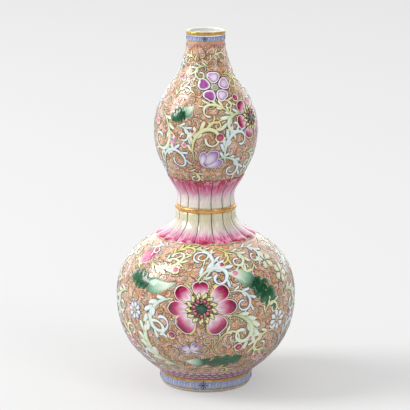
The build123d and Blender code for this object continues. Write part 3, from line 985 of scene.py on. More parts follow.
# How a petal is shaped: how far its tip is drawn out, how full it is towards the tip, where
# its middle lies, how high it stands and what height it lies on
petalForms = {
    "sepal": (0.14, 0.4, 0.42, 0.1),
    "leaflet": (0.1, 0.3, 0.5, 0.3, 0.5),
    "round": (0.06, 0.55, 0.45, 0.42),
    "lily": (-0.05, 0.36, 0.45, 0.45),
    "budLeaf": (0.15, 0.3),
    "bud": (0.04, 0.2, 0.5, 0.5),
    "lotusBud": (0.12, 0.2, 0.4),
    "magnolia": (0.06, 0.45, 0.4),
    "orchid": (0.12, 0.4, 0.42, 0.42),
}

# Heading, reach and width of each broad petal of a lotus
lotusPetals = {
    "lotus": [
        (93, 26, 16), (143, 30, 15), (182, 31.5, 14.5), (-135, 29.5, 20.5),
        (-47, 29.5, 20.5), (3, 33, 14.5), (39, 31, 15),
    ],
    "smallLotus": [(k * 60 + 10, 25, 17) for k in range(6)],
}
lotusLook = {
    "petalsFrom": 9.0,
    "sepalsFrom": 13,
    "sepalWidth": 6.4,
    "dots": ((0.8, 1.2), (0.93, 1.5)),  # share of the reach, and radius
    "vein": [(0, 0.08), (0.6, 0.2), (1, 0.05)],
    "leaflets": 26,
    "leafletsAt": (8.0, 9.6),
    "leafletLean": (-12, 12),
    "leaflet": (5.0, 3.1),
    "beads": 7,
    "beadsAt": 6.9,
    "bead": 2.45,
    "heart": 4.9,
    "seeds": 17,
    "seedSpread": 1.02,
    "seed": 0.42,
}


# The open lotus: broad petals round a ring of leaflets, crimson beads with a painted highlight and a dark
# heart
def lotus(flowers, spot, rand, tips):
    look, middle = lotusLook, (0, 0)
    inner, goldenTurn = look["petalsFrom"], 137.5
    for heading, reach, width in tips:
        for side in (-1, 1):
            sepal = heading + side * (width * 0.8 + 6)
            start, wide = along(middle, sepal, look["sepalsFrom"]), look["sepalWidth"]
            petal(flowers, spot, start, sepal, reach * 0.44, wide, "leaflet", *petalForms["sepal"])
    for k, (heading, reach, width) in enumerate(tips):
        after = tips[(k + 1) % len(tips)][0] % 360
        between = heading + ((after - heading) % 360) / 2
        for share, size in look["dots"]:
            at = along(middle, between + rand.uniform(-3, 3), reach * share)
            disc(flowers, spot, at, size, "white", 0.35, 12)
    for heading, reach, width in tips:
        start, notch = along(middle, heading, inner), rand.uniform(-0.04, 0.05)
        petal(flowers, spot, start, heading, reach - inner, width, "lotus", notch, 0.42, 0.28, 0.4)
        for side in (-2, -1, 0, 1, 2):
            root = along(start, heading + side * 20, 2.8)
            vein, _ = sweep(root, heading + side * 7, (reach - inner) * 0.46, 0, -side * 0.6, 8)
            stroke(flowers, spot, vein, look["vein"], paints["rosyVein"], 0.08, True, 0.22)
    for k in range(look["leaflets"]):
        heading = k * 360 / look["leaflets"]
        at = along(middle, heading, look["leafletsAt"][k % 2])
        heading += look["leafletLean"][k % 2]
        petal(flowers, spot, at, heading, *look["leaflet"], "leaflet", *petalForms["leaflet"])
    for k in range(look["beads"]):
        at = along(middle, k * 360 / look["beads"] + 14, look["beadsAt"])
        disc(flowers, spot, at, look["bead"], "bead", 0.55, 14, 0.36)
    disc(flowers, spot, middle, look["heart"], "heart", 0.4, 18, 0.36)
    for k in range(look["seeds"]):
        at = along(middle, k * goldenTurn, look["seedSpread"] * math.sqrt(k))
        disc(flowers, spot, at, look["seed"], "seed", 0.2, 7, 0.72)


# The smaller flowers, in degrees and millimetres. Petals are given by heading, length and
# width, or by how many there are, how far out they start and the heading of the first
flowerLook = {
    "daisy": {"count": 8, "from": 1.2, "petal": (5.6, 4.3), "first": 80, "heart": 2.0},
    "blossom": {"count": 5, "from": 0.8, "petal": (8.0, 6.5), "first": 90, "heart": 1.6},
    "lily": {
        "tones": ("lily", "deepLily", "deepLily", "lily", "lily"),
        "from": 2.4,
        "petal": (10.0, 10.0),
        "heart": 2.7,
        "seeds": 9,
        "seedsAt": 2.3,
        "seed": 0.34,
    },
    "bud": {"radius": 3.2, "leafSpread": 42},
    "lotusBud": {
        "petals": ((118, 15, 6), (66, 14, 6), (96, 19, 8), (82, 17, 7)),
        "leaves": (150, 30, 175, 5),
        "leaf": (6.5, 2.6),
    },
    "magnolia": {
        "petals": ((74, 14, 8), (36, 19, 12), (4, 18, 10)),
        "streaksFrom": 2.2,
        "streak": [(0, 0.22), (1, 0.05)],
        "stamens": range(112, 252, 20),
        "stamenLength": 8.5,
        "stamen": [(0, 0.2), (1, 0.2)],
        "anther": 0.8,
    },
    "orchid": {
        "petals": ((150, 11, 4.4), (118, 9, 4), (62, 10, 4.4), (24, 11, 4), (190, 7, 3), (-20, 8, 3)),
        "heart": 1.5,
    },
}


# Like petals in a circle round a heart
def wreath(flowers, spot, look, tone, heartTone, heartCorners):
    for k in range(look["count"]):
        heading = look["first"] + k * 360 / look["count"]
        start = along((0, 0), heading, look["from"])
        petal(flowers, spot, start, heading, *look["petal"], tone, *petalForms["round"])
    disc(flowers, spot, (0, 0), look["heart"], heartTone, 0.6, heartCorners)


def daisy(flowers, spot, tone):
    wreath(flowers, spot, flowerLook["daisy"], tone, "daisyHeart", 14)


def blossom(flowers, spot, tone):
    wreath(flowers, spot, flowerLook["blossom"], tone, "crimson", 10)


def lily(flowers, spot):
    look = flowerLook["lily"]
    for k, tone in enumerate(look["tones"]):
        heading = 90 + k * 72
        start = along((0, 0), heading, look["from"])
        petal(flowers, spot, start, heading, *look["petal"], tone, *petalForms["lily"])
    disc(flowers, spot, (0, 0), look["heart"], "lilyHeart", 0.65, 16)
    for k in range(look["seeds"]):
        at = along((0, 0), k * 360 / look["seeds"], look["seedsAt"])
        disc(flowers, spot, at, look["seed"], "leaflet", 0.8, 7)


def bud(flowers, spot, tone):
    look = flowerLook["bud"]
    radius = look["radius"]
    for side in (-1, 0, 1):
        start, heading = (0, -radius * 1.1), 90 + side * look["leafSpread"]
        petal(flowers, spot, start, heading, radius * 1.5, radius * 0.8, "leaflet", *petalForms["budLeaf"])
    petal(flowers, spot, (0, -radius), 90, radius * 2.1, radius * 1.9, tone, *petalForms["bud"])


def lotusBud(flowers, spot):
    look = flowerLook["lotusBud"]
    for heading, length, width in look["petals"]:
        petal(flowers, spot, (0, 0), heading, length, width, "pink", *petalForms["lotusBud"])
    for heading in look["leaves"]:
        petal(flowers, spot, (0, 0.5), heading, *look["leaf"], "leaflet", *petalForms["budLeaf"])


def magnolia(flowers, spot):
    look = flowerLook["magnolia"]
    for heading, length, width in look["petals"]:
        petal(flowers, spot, (0, 0), heading, length, width, "magnolia", *petalForms["magnolia"])
        for side in (-2, -1, 0, 1, 2):
            root = along((0, 0), heading + side * 14, look["streaksFrom"])
            streak, _ = sweep(root, heading + side * 9, length * 0.62, 0, -side * 1.6, 10)
            stroke(flowers, spot, streak, look["streak"], paints["lilacVein"], 0.08, True, 0.2)
    for heading in look["stamens"]:
        line, _ = sweep((0, 0), heading, look["stamenLength"], 3, 8, 8)
        stroke(flowers, spot, line, look["stamen"], paints["stamen"])
        # the anthers take the beads' tones, with the same painted highlight
        disc(flowers, spot, line[-1], look["anther"], "bead", 0.5, 9)


def orchid(flowers, spot, tone):
    look = flowerLook["orchid"]
    for heading, length, width in look["petals"]:
        petal(flowers, spot, (0, 0), heading, length, width, tone, *petalForms["orchid"])
    disc(flowers, spot, (0, 0), look["heart"], "crimson", 0.6, 12)


# A dark leaf with broad, uneven lobes that lean towards its tip
def lobedLeaf(leaves, spot, rand, length, width, bend):
    count, lobes = 80, 4
    line, _ = sweep((0, 0), 90, length, -bend * 0.3, bend, count, 1.0)
    share = np.linspace(0, 1, count)
    envelope = np.clip(np.sin(math.pi * (0.08 + 0.9 * share)), 0, 1) ** 0.6 * width / 2
    sides = []
    for side in (0, 1):
        size = np.array([rand.uniform(0.55, 1.0) for _ in range(lobes + 1)])
        place = share * lobes + side * 0.45
        lobe = np.sin(math.pi * (place % 1) ** 1.25) ** 0.7
        sides.append(np.maximum(envelope * (0.58 + 0.42 * size[place.astype(int)] * lobe), 0.1))
    stroke(leaves, spot, line, np.column_stack(sides), paints["darkLeaf"], 0.2)


# A dark leaf and the pale one that turns back from its root
def leafPair(leaves, spot, rand, length, width, bend, tail, tailBend):
    tailLine, turned = sweep((0, 2.5), -90, tail, tailBend * 0.2, tailBend, 40, 1.4)
    widths = [(0, width * 0.24), (0.25, width * 0.36), (0.6, width * 0.22), (0.85, width * 0.09), (1, 0.1)]
    stroke(leaves, spot, tailLine, widths, paints["paleLeaf"], 0.26)
    for aside in (-0.2, -0.1, 0.0, 0.1, 0.2):
        vein = []
        for i in range(2, 34):
            off = aside * width * math.sin(math.pi * (i / 39) ** 0.6)
            vein.append(along(tailLine[i], turned[i] + 90, off))
        stroke(leaves, spot, vein, [(0, 0.3), (1, 0.1)], paints["vein"], 0.42, True)
    lobedLeaf(leaves, spot, rand, length, width, bend)


def stem(piece, spot, heading, length, bend, bendEnd, width):
    line, _ = sweep((0, 0), heading, length, bend, bendEnd, 26)
    stroke(piece, spot, line, [(0, width), (0.6, width * 0.8), (1, 0.12)], paints["stem"], 0.3)


# Scrolls: where each starts and where its curl ends (azimuth and height), its paint, how far
# it turns, its lobes, its thickness and how late it winds up
lowerScrolls = [
    (-5.5, 113, 8.4, 118.7, "blue", -400, 6, 1.9, 1.6),
    (-4.5, 112, -5.0, 128, "blue", 330, 5, 1.5, 2.0),
    (16.5, 84, 25.5, 68, "mint", -400, 7, 2.2, 1.6),
    (-21, 98, -31.5, 79, "blue", 400, 7, 2.0, 1.6),
    (-18, 31, -31, 63, "mint", -330, 7, 2.3, 3.0),
    (-49, 126, -30, 130, "cream", 330, 7, 1.7, 2.2),
    (-31, 131, -18, 134, "yellow", -330, 5, 1.3, 2.2),
    (20, 135, 28, 129, "mint", -400, 5, 1.5, 1.6),
    (33, 136, 45, 131, "blue", -380, 5, 1.4, 1.8),
    (15, 104, 25, 96, "blue", -400, 5, 1.4, 1.6),
    (53, 62, 40, 54, "cream", 400, 6, 1.6, 1.8),
    (32, 47, 40, 41, "yellow", -400, 4, 1.2, 1.6),
    (-34, 27, -44, 38, "blue", -380, 5, 1.5, 1.8),
    (-50, 44, -57, 58, "cream", -360, 6, 1.6, 2.0),
    (8, 58, 17, 64, "cream", -400, 4, 1.2, 1.6),
    (-60, 96, -69, 84, "mint", 400, 6, 1.8, 1.6),
    (60, 96, 71, 86, "mint", -400, 6, 1.8, 1.6),
    (40, 79, 47, 86, "cream", -400, 4, 1.3, 1.6),
    (62, 44, 71, 58, "blue", -380, 6, 1.6, 1.8),
    (54, 34, 62, 28, "cream", -400, 4, 1.3, 1.6),
    (8, 30, 16, 27, "yellow", -400, 3, 1.1, 1.6),
    (-70, 104, -82, 116, "cream", -360, 6, 1.8, 2.0),
    (73, 104, 83, 114, "blue", -380, 6, 1.7, 1.8),
    (-67, 57, -78, 70, "blue", -380, 6, 1.8, 1.8),
    (76, 80, 86, 64, "mint", -400, 7, 1.9, 1.6),
    (-70, 36, -80, 48, "mint", -380, 6, 1.7, 1.8),
    (77, 33, 85, 42, "cream", -380, 5, 1.4, 1.8),
    (-62, 134, -74, 130, "yellow", 400, 4, 1.3, 1.6),
    (66, 136, 80, 131, "cream", -400, 4, 1.3, 1.6),
    (-14, 136, -3, 133, "mint", -380, 5, 1.2, 1.7),
    (8, 137, 15, 131, "yellow", -400, 4, 1.1, 1.6),
    (-40, 136, -50, 134, "blue", 380, 4, 1.2, 1.7),
    (40, 126, 33, 122, "cream", -400, 4, 1.1, 1.6),
    (-36, 118, -28, 126, "mint", -400, 4, 1.2, 1.6),
]
upperScrolls = [
    (11, 297, -13, 292, "mint", 400, 6, 1.2, 1.6),
    (8, 301, 40, 303, "cream", -330, 4, 1.0, 2.2),
    (-2, 262, -20, 281, "stem", 260, 0, 1.1, 2.0),
    (12, 270, 2, 266, "stem", -220, 0, 1.0, 1.6),
    (49, 256, 33, 249.5, "mint", 400, 6, 1.9, 1.6),
    (31, 256, 6, 256, "cream", 260, 5, 1.6, 2.4),
    (-13, 218, 0.5, 237, "cream", -400, 7, 1.9, 1.6),
    (13, 218, 33, 209, "blue", -380, 6, 1.8, 1.8),
    (24, 213, 39, 231, "blue", -330, 7, 1.9, 2.4),
    (-60, 205, -39, 218, "blue", -400, 6, 1.7, 1.6),
    (-60, 258, -54, 235, "mint", -400, 7, 1.9, 1.6),
    (-46, 270, -34, 277, "cream", -400, 5, 1.3, 1.6),
    (20, 268, 30, 266, "cream", -400, 4, 1.2, 1.6),
    (34, 290, 52, 284, "yellow", -380, 5, 1.2, 1.8),
    (-24, 300, -48, 303, "cream", 380, 4, 1.0, 1.8),
    (-34, 247, -24, 240, "blue", -400, 5, 1.4, 1.6),
    (-24, 206, -14, 200, "cream", -400, 4, 1.2, 1.6),
    (52, 222, 62, 212, "mint", -400, 6, 1.7, 1.6),
    (4, 245, 12, 249, "yellow", -400, 4, 1.1, 1.6),
    (-74, 238, -88, 252, "blue", -380, 6, 1.8, 1.8),
    (78, 216, 90, 206, "blue", -400, 6, 1.7, 1.6),
    (-76, 216, -88, 208, "mint", 400, 6, 1.7, 1.6),
    (70, 276, 88, 270, "mint", -400, 5, 1.5, 1.6),
    (-70, 276, -88, 284, "cream", -400, 5, 1.4, 1.6),
    (74, 300, 98, 298, "blue", -400, 4, 1.1, 1.6),
]

# What else grows where: the kind of motif, azimuth and height on the vase, turn and size,
# then what that kind takes. All of it is repeated half way round, on the back of the vase
lowerPlan = [
    ("leafPair", -41, 107.5, 80, 1.0, 25, 22, 3, 32, 3),
    ("leafPair", 32, 112, -132, 1.0, 39, 25, -3, 26, 4),
    ("leafPair", -4, 37, -86, 1.0, 40, 19, 2, 18, -3),
    ("stem", 4.5, 62, 0, 1.0, -100, 22, 2, 9, 1.3),
    ("stem", 8.5, 66, 0, 1.0, -75, 17, -5, -6, 1.2),
    ("stem", 2.0, 50, 0, 1.0, -150, 12, 10, 12, 1.0),
    ("stem", -40, 84, 0, 1.0, -80, 34, 0.5, 2.5, 0.8),
    ("lotus", -2.7, 90.3, 0, 1.0),
    ("daisy", -51.2, 81.1, 0, 1.25, "blueWhite"),
    ("daisy", 52.1, 72, 20, 1.5, "white"),
    ("lotusBud", -61, 121, -38, 1.15),
    ("blossom", 53, 125, 0, 1.15, "green"),
    ("blossom", 63, 112, 40, 1.15, "green"),
    ("orchid", -10.1, 49, 10, 1.1, "lilac"),
    ("orchid", 45, 33, -20, 1.2, "pink"),
    ("bud", -22.9, 121, 10, 1.25, "pink"),
    ("bud", 21.5, 118.5, 0, 1.15, "pink"),
    ("bud", -22.5, 64, -30, 1.3, "crimson"),
    ("bud", 22.6, 52, 20, 1.4, "crimson"),
    ("bud", 13, 126, 60, 0.8, "crimson"),
    ("bud", -70, 70, 0, 1.1, "crimson"),
    ("bud", 68, 74, 0, 1.1, "crimson"),
    ("bud", -44, 96, 0, 0.7, "crimson"),
    ("bud", 30, 60, 0, 0.7, "pink"),
    ("daisy", -84, 126, 0, 1.2, "white"),
    ("daisy", 88, 92, 0, 1.3, "blueWhite"),
    ("bud", -33, 126, -20, 0.6, "crimson"),
    ("bud", 37, 118, 20, 0.6, "crimson"),
    ("bud", 45, 116, -30, 0.6, "crimson"),
    ("bud", 51, 113.5, 10, 0.55, "crimson"),
    ("bud", 57, 117.5, -20, 0.55, "crimson"),
    ("bud", 48, 122, 40, 0.5, "crimson"),
    ("bud", 62, 103, 40, 0.6, "crimson"),
    ("bud", -47, 40, 20, 0.7, "crimson"),
    ("bud", -36, 46, -40, 0.6, "pink"),
    ("bud", 31, 40, 30, 0.7, "crimson"),
    ("bud", 56, 54, -20, 0.7, "crimson"),
    ("bud", 44, 64, 10, 0.6, "pink"),
    ("bud", -58, 70, 10, 0.6, "pink"),
    ("blossom", -64, 46, 0, 1.1, "pink"),
    ("blossom", 74, 46, 0, 1.0, "pink"),
    ("orchid", -84, 44, -60, 1.1, "pink"),
]
upperPlan = [
    ("leafPair", -25, 259, 118, 0.8, 19, 21, 5, 16, 5),
    ("lily", 15, 280, 0, 1.3),
    ("smallLotus", 62, 252, 60, 0.8),
    ("magnolia", -4, 211, 10, 1.05),
    ("bud", 15.6, 237.2, 0, 1.4, "crimson"),
    ("bud", 44, 270, 20, 1.15, "crimson"),
    ("bud", -40, 208, 0, 0.8, "pink"),
    ("bud", -66, 248, 0, 1.1, "pink"),
    ("bud", 46, 216, 60, 0.8, "crimson"),
    ("bud", -24, 230, 20, 0.8, "pink"),
    ("bud", -46, 286, 0, 0.8, "pink"),
    ("daisy", -72, 206, 0, 0.9, "blueWhite"),
    ("blossom", -40, 234, 0, 0.7, "pink"),
    ("daisy", 86, 236, 0, 1.0, "white"),
    ("blossom", 88, 288, 0, 0.7, "green"),
    ("orchid", -84, 266, 0, 1.0, "lilac"),
    ("bud", -49, 243, 20, 0.7, "crimson"),
    ("bud", -29, 236, -30, 0.6, "crimson"),
    ("bud", -15, 243, 10, 0.6, "crimson"),
    ("bud", -22, 204, 0, 0.6, "crimson"),
    ("bud", 3, 262, 20, 0.55, "crimson"),
    ("bud", 36, 220, 10, 0.6, "crimson"),
    ("bud", 19, 303, 0, 0.5, "crimson"),
    ("bud", 54, 232, -20, 0.6, "crimson"),
    ("stem", -16, 238, 0, 0.8, 40, 16, 4, -12, 1.1),
    ("stem", 4, 228, 0, 0.8, 150, 14, 4, 14, 1.1),
    ("stem", 8, 258, 0, 0.8, 200, 16, -4, -14, 1.1),
]
motifs = {
    "daisy": daisy,
    "blossom": blossom,
    "lily": lily,
    "bud": bud,
    "lotusBud": lotusBud,
    "magnolia": magnolia,
    "orchid": orchid,
}


def plant(scrollPlan, fullness, plan, wall, pieces, rand):
    scrolls, leaves, flowers = pieces
    for around in (0, 180):
        for azimuth, height, toAzimuth, toHeight, paintName, turns, lobes, thick, power in scrollPlan:
            way = wall.way(azimuth, height, toAzimuth, toHeight)
            spot = wall.spot(around + azimuth, height)
            acanthus(scrolls, spot, way, paintName, turns, lobes, thick * fullness, power)
        for kind, azimuth, height, turn, size, *given in plan:
            spot = wall.spot(around + azimuth, height, turn, size)
            if kind == "leafPair":
                leafPair(leaves, spot, rand, *given)
            elif kind == "stem":
                stem(leaves, spot, *given)
            elif kind in lotusPetals:
                lotus(flowers, spot, rand, lotusPetals[kind])
            else:
                motifs[kind](flowers, spot, *given)


def makeFlowers():
    rand = random.Random(4)
    lowerHalf = ("lower", lowerScrolls, 1.2, lowerPlan, lowerWall)
    upperHalf = ("upper", upperScrolls, 1.06, upperPlan, upperWall)
    for name, scrollPlan, fullness, plan, wall in (lowerHalf, upperHalf):
        pieces = [EnamelPiece(name + kind) for kind in ("ScrollEnamel", "LeafEnamel", "FlowerEnamel")]
        plant(scrollPlan, fullness, plan, wall, pieces, rand)
        for piece in pieces:
            made = piece.finish()
            print(made.name, len(made.data.vertices), "corners")


makeFlowers()
print("flowers and scrolls painted")


# Scatters copies of a small curl over a wall, each turned and sized at random
def makeScatterGroup():
    inputs = {
        "Geometry": ("Geometry", None),
        "Curl": ("Object", None),
        "Spacing": ("Float", 0.008),
        "Seed": ("Int", 1),
        "Smallest": ("Float", 0.7),
        "Largest": ("Float", 1.1),
        "Material": ("Material", None),
    }
    mostPerSquareMetre, turnSeed = 90000.0, 7
    tree, given, result = newGroup("scatterCurls", "GeometryNodeTree", inputs, {"Geometry": "Geometry"})
    spread = {"Mesh": given["Geometry"], "Distance Min": given["Spacing"], "Seed": given["Seed"]}
    spread["Density Max"] = mostPerSquareMetre
    where = addNode(tree, "GeometryNodeDistributePointsOnFaces", spread, distribute_method="POISSON").outputs
    curl = addNode(tree, "GeometryNodeObjectInfo", {"Object": given["Curl"]}).outputs["Geometry"]
    kind, draws = "FunctionNodeRandomValue", [(given["Seed"], given["Smallest"], given["Largest"])]
    size, turn = [
        addNode(tree, kind, {"Seed": seed, 2: least, 3: most}, data_type="FLOAT").outputs[1]
        for seed, least, most in draws + [(turnSeed, 0.0, fullTurn)]
    ]
    parts = {"Points": where["Points"], "Instance": curl, "Rotation": where["Rotation"], "Scale": size}
    copies = addNode(tree, "GeometryNodeInstanceOnPoints", parts).outputs[0]
    spin = addNode(tree, "ShaderNodeCombineXYZ", {"Z": turn}).outputs[0]
    parts = {"Instances": copies, "Rotation": spin, "Local Space": True}
    spun = addNode(tree, "GeometryNodeRotateInstances", parts).outputs[0]
    real = addNode(tree, "GeometryNodeRealizeInstances", {"Geometry": spun}).outputs[0]
    parts = {"Geometry": real, "Material": given["Material"]}
    feed(tree, result, {"Geometry": addNode(tree, "GeometryNodeSetMaterial", parts).outputs[0]})
    return tree


scatterGroup = makeScatterGroup()


def flatSpot(points, lift):
    return np.column_stack([points * mm, lift * mm])


# Small painted curls or flecks between the flowers, over a band of the wall
def makeGroundCurls(name, wall, paintName, seed, look):
    unit = EnamelPiece(name + "Unit")
    line, _ = sweep((0, -2.4), 0, look["length"], 8, 40, 16, 1.0)
    line -= line.mean(axis=0)
    wide = look["width"]
    widths = [(0, 0.1), (0.4, wide), (0.8, wide * 0.7), (0.95, wide), (1, 0.2)]
    stroke(unit, flatSpot, line, widths, paints[paintName], 0.055, True)
    curl = unit.build()
    work = bmesh.new()
    turns, rings = 120, []
    for height in np.linspace(*look["band"], 60) * mm:
        radius = float(np.interp(height, wall.height, wall.radius))
        rings.append(cornerRing(work, radius, float(height), turns))
    for here, there in zip(rings, rings[1:]):
        for i in range(turns):
            j = (i + 1) % turns
            work.faces.new([here[i], here[j], there[j], there[i]])
    piece = pieceFrom(work, name)
    smallest, largest = look["sizes"]
    values = {"Curl": curl, "Spacing": look["spacing"] * mm, "Seed": seed, "Material": enamelMaterial}
    growPiece(piece, scatterGroup, {**values, "Smallest": smallest, "Largest": largest})
    bpy.data.objects.remove(curl)
    print(name, len(piece.data.polygons), "faces")
    return dress(piece, "raised_enamel")


groundTrim = {
    "lowerCurls": {
        "length": 22.0,
        "width": 1.2,
        "spacing": 9.6,
        "sizes": (0.85, 1.35),
        "band": (26, 133),
        "seeds": {"Pale": 3, "Warm": 8},
    },
    "upperCurls": {
        "length": 22.0,
        "width": 1.2,
        "spacing": 8.0,
        "sizes": (0.7, 1.1),
        "band": (198, 309),
        "seeds": {"Pale": 5, "Warm": 11},
    },
    "lowerFlecks": {
        "length": 9.0,
        "width": 0.9,
        "spacing": 11.0,
        "sizes": (0.7, 1.2),
        "band": (27, 132),
        "seeds": {"Olive": 17, "Rose": 23, "Pearl": 31},
    },
    "upperFlecks": {
        "length": 8.0,
        "width": 0.8,
        "spacing": 9.0,
        "sizes": (0.6, 1.0),
        "band": (199, 308),
        "seeds": {"Olive": 17, "Rose": 23, "Pearl": 31},
    },
}
for kind, paintStart in (("Curls", "curl"), ("Flecks", "fleck")):
    for half, wall in (("lower", lowerWall), ("upper", upperWall)):
        trim = groundTrim[half + kind]
        for tone, seed in trim["seeds"].items():
            makeGroundCurls(half + tone + kind, wall, paintStart + tone, seed, trim)
print("ground curls scattered")


# One key of the fret: a line that turns inward at right angles, then a bar between keys
def drawFret(name, wall, height, tall, radius, count):
    piece = EnamelPiece(name)
    spot = wall.spot(0, height)
    w, t = fullTurn * radius / count / 2, tall / 2
    key = [(-1, -1), (0.5, -1), (0.5, 0.55), (-0.45, 0.55), (-0.45, -0.35), (0, -0.35), (0, 0.1)]
    bar = [(-0.8, 1), (1, 1), (0.82, 1), (0.82, -0.6)]
    for path in (key, bar):
        corners = [(x * w, y * t) for x, y in path]
        for (x0, y0), (x1, y1) in zip(corners, corners[1:]):
            reach = math.hypot(x1 - x0, y1 - y0)
            if reach < 0.05:
                continue
            share = np.linspace(-0.22 / reach, 1 + 0.22 / reach, 5)
            line = np.column_stack([x0 + (x1 - x0) * share, y0 + (y1 - y0) * share])
            stroke(piece, spot, line, [(0, 0.25), (1, 0.25)], paints["fret"], 0.12, True)
    piece.finish("border_enamel", count)


def makeBorders():
    look = {
        "footFret": {"height": 7.3, "tall": 4.4, "radius": 42.3, "count": 44},
        "neckFret": {"height": 321.5, "tall": 2.9, "radius": 17.4, "count": 22},
        "lappetCount": 48,
        "lappetRows": ((20.8, "lappet"), (17.6, "deepLappet"), (14.6, "lappet")),
        "bracketCount": 7,
        "bracketHeight": 313.4,
        "bracketRadius": 17.6,
        "bracketLine": [
            (1, 2.6), (0.66, 2.6), (0.6, 0.9), (0.42, 0.7),
            (0.38, -0.9), (0.2, -1.2), (0.12, -2.2), (0, -2.8),
        ],
        "rosettesAt": (-3, 87, 177, 267),
    }
    footFace = turnedFace(["foot_ring"], 1, 0.4)
    footWall = Wall(footFace + [p[:2] for p in lowerOutline])
    drawFret("footFret", footWall, *look["footFret"].values())
    drawFret("neckFret", upperWall, *look["neckFret"].values())
    lappets = EnamelPiece("footLappets")
    for row, (height, tone) in enumerate(look["lappetRows"]):
        spot = lowerWall.spot((row % 2) * 180 / look["lappetCount"], height)
        petal(lappets, spot, (0, -2.6), 90, 5.6, 6.2, tone, 0.0, 0.1, 0.5, 0.22)
    lappets.finish("border_enamel", look["lappetCount"])
    brackets = EnamelPiece("neckLappets")
    spot = upperWall.spot(0, look["bracketHeight"])
    wide = math.pi * look["bracketRadius"] / look["bracketCount"]
    for side in (-1, 1):
        line = [(side * share * wide, y) for share, y in look["bracketLine"]]
        stroke(brackets, spot, line, [(0, 0.42), (1, 0.42)], paints["mauve"], 0.14, True)
    disc(brackets, spot, (0, 0.6), 1.3, "magnolia", 0.2, 12)
    disc(brackets, spot, (0, -3.6), 0.7, "pink", 0.2, 10)
    disc(brackets, spot, (wide, 1.2), 0.8, "pink", 0.2, 10)
    brackets.finish("border_enamel", look["bracketCount"])
    rosettes = EnamelPiece("blueRosettes")
    fretSpots = ((footWall, look["footFret"]["height"], 1.0), (upperWall, look["neckFret"]["height"], 0.62))
    for azimuth in look["rosettesAt"]:
        for wall, height, size in fretSpots:
            spot = wall.spot(azimuth, height, 0, size)
            disc(rosettes, spot, (0, 0), 1.3, "rosette", 0.3, 12)
            for k in range(8):
                start, length = along((0, 0), k * 45, 1.2), 2.2 if k % 2 else 3.0
                petal(rosettes, spot, start, k * 45, length, 1.3, "rosette", 0.05, 0.5, 0.5, 0.28)
    rosettes.finish("border_enamel")


makeBorders()
print("borders painted")

studio = {
    "aim": (0, 0, 0.1623),
    "distance": 2.046,
    "elevation": 12.8,
    "lens": 196.85,
    "shift": (-0.00195, 0.01034),
    "surround": 0.9,
    "fill": 0.7,
    "reflected": (0.06, 1.75),
    "floorReach": 8.0,
    "floorGlow": (0.28, 0.31),
    "floorInGlaze": 0.15,
    "floorColour": 0.525,
    "softboxes": {
        "mainSoftbox": {"azimuth": -86, "rise": 37, "distance": 4.5, "size": (1.9, 3.1), "power": 155.0},
        "farSoftbox": {"azimuth": 47, "rise": 36, "distance": 4.5, "size": (1.3, 4.2), "power": 32.0},
    },
}


def aimAtVase(holder, azimuth, rise, distance):
    around, up = math.radians(azimuth), math.radians(rise)
    away = Vector((math.cos(up) * math.sin(around), -math.cos(up) * math.cos(around), math.sin(up)))
    holder.location = Vector(studio["aim"]) + away * distance
    holder.rotation_euler = away.to_track_quat("Z", "Y").to_euler()


# The photograph's viewpoint, and soft light from the left and a little from the right
def makeCameraAndLamps():
    camera = linkPiece("camera", bpy.data.cameras.new("camera"))
    aimAtVase(camera, 0, studio["elevation"], studio["distance"])
    camera.data.lens = studio["lens"]
    camera.data.sensor_width = 36
    camera.data.shift_x, camera.data.shift_y = studio["shift"]
    camera.data.clip_end = 50
    bpy.context.scene.camera = camera
    for name, box in studio["softboxes"].items():
        lamp = bpy.data.lights.new(name, "AREA")
        lamp.shape = "RECTANGLE"
        lamp.size, lamp.size_y = box["size"]
        lamp.energy = box["power"]
        aimAtVase(linkPiece(name, lamp), box["azimuth"], box["rise"], box["distance"])


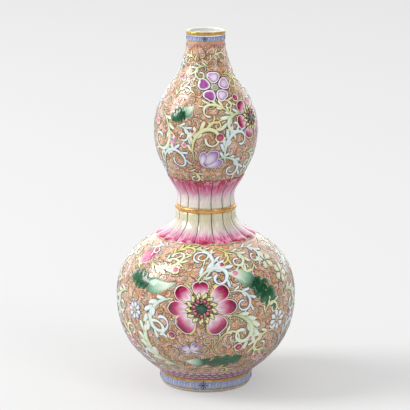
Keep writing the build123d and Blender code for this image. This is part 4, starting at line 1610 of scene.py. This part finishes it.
# A pale surround. In the glaze it is dim in front of the vase and bright behind it
def makeSurround():
    world = bpy.data.worlds.new("studio")
    bpy.context.scene.world = world
    world.use_nodes = True
    tree = world.node_tree
    tree.nodes.clear()
    ray = addNode(tree, "ShaderNodeLightPath").outputs
    direction = addNode(tree, "ShaderNodeTexCoord").outputs["Generated"]
    ahead = addNode(tree, "ShaderNodeSeparateXYZ", {"Vector": direction}).outputs["Y"]
    mirrored = mapRange(tree, ahead, *studio["reflected"], 0.1, 0.95, "SMOOTHSTEP")
    seen = maths(tree, "MAXIMUM", ray["Is Camera Ray"], ray["Is Transmission Ray"])
    plain = mapRange(tree, seen, studio["fill"], studio["surround"])
    glossy = maths(tree, "MULTIPLY", ray["Is Glossy Ray"], maths(tree, "SUBTRACT", 1.0, seen))
    strength = maths(tree, "MULTIPLY_ADD", maths(tree, "SUBTRACT", mirrored, plain), glossy, plain)
    sky = addNode(tree, "ShaderNodeBackground", {"Color": (1, 1, 1, 1), "Strength": strength})
    addNode(tree, "ShaderNodeOutputWorld", {"Surface": sky.outputs[0]})


# A pale floor that keeps the shadow. Its glow is only for the camera and, dimly, for the glaze
def makeFloor():
    half, shade = studio["floorReach"], studio["floorColour"]
    corners = [(-half, -half, 0), (half, -half, 0), (half, half, 0), (-half, half, 0)]
    mesh = bpy.data.meshes.new("floor")
    mesh.from_pydata(corners, [], [(0, 1, 2, 3)])
    material, tree, shader = newMaterial("paleFloor")
    ray = addNode(tree, "ShaderNodeLightPath").outputs
    inGlaze = maths(tree, "MULTIPLY", ray["Is Glossy Ray"], studio["floorInGlaze"])
    seen = maths(tree, "MAXIMUM", ray["Is Camera Ray"], inGlaze)
    depth = addNode(tree, "ShaderNodeSeparateXYZ", {"Vector": objectPlace(tree)}).outputs["Y"]
    near, away = studio["floorGlow"]
    glow = maths(tree, "MULTIPLY_ADD", mapRange(tree, depth, 0.0, 1.0, 0.0, 2.6), away - near, near)
    feed(tree, shader, {"Base Color": (shade, shade, shade, 1), "Roughness": 0.9, "Specular IOR Level": 0.0})
    glow = maths(tree, "MULTIPLY", seen, glow)
    feed(tree, shader, {"Emission Color": (1, 1, 1, 1), "Emission Strength": glow})
    mesh.materials.append(material)
    linkPiece("floor", mesh)


bpy.context.scene.view_settings.view_transform = "Standard"
makeCameraAndLamps()
makeSurround()
makeFloor()
print("studio set")
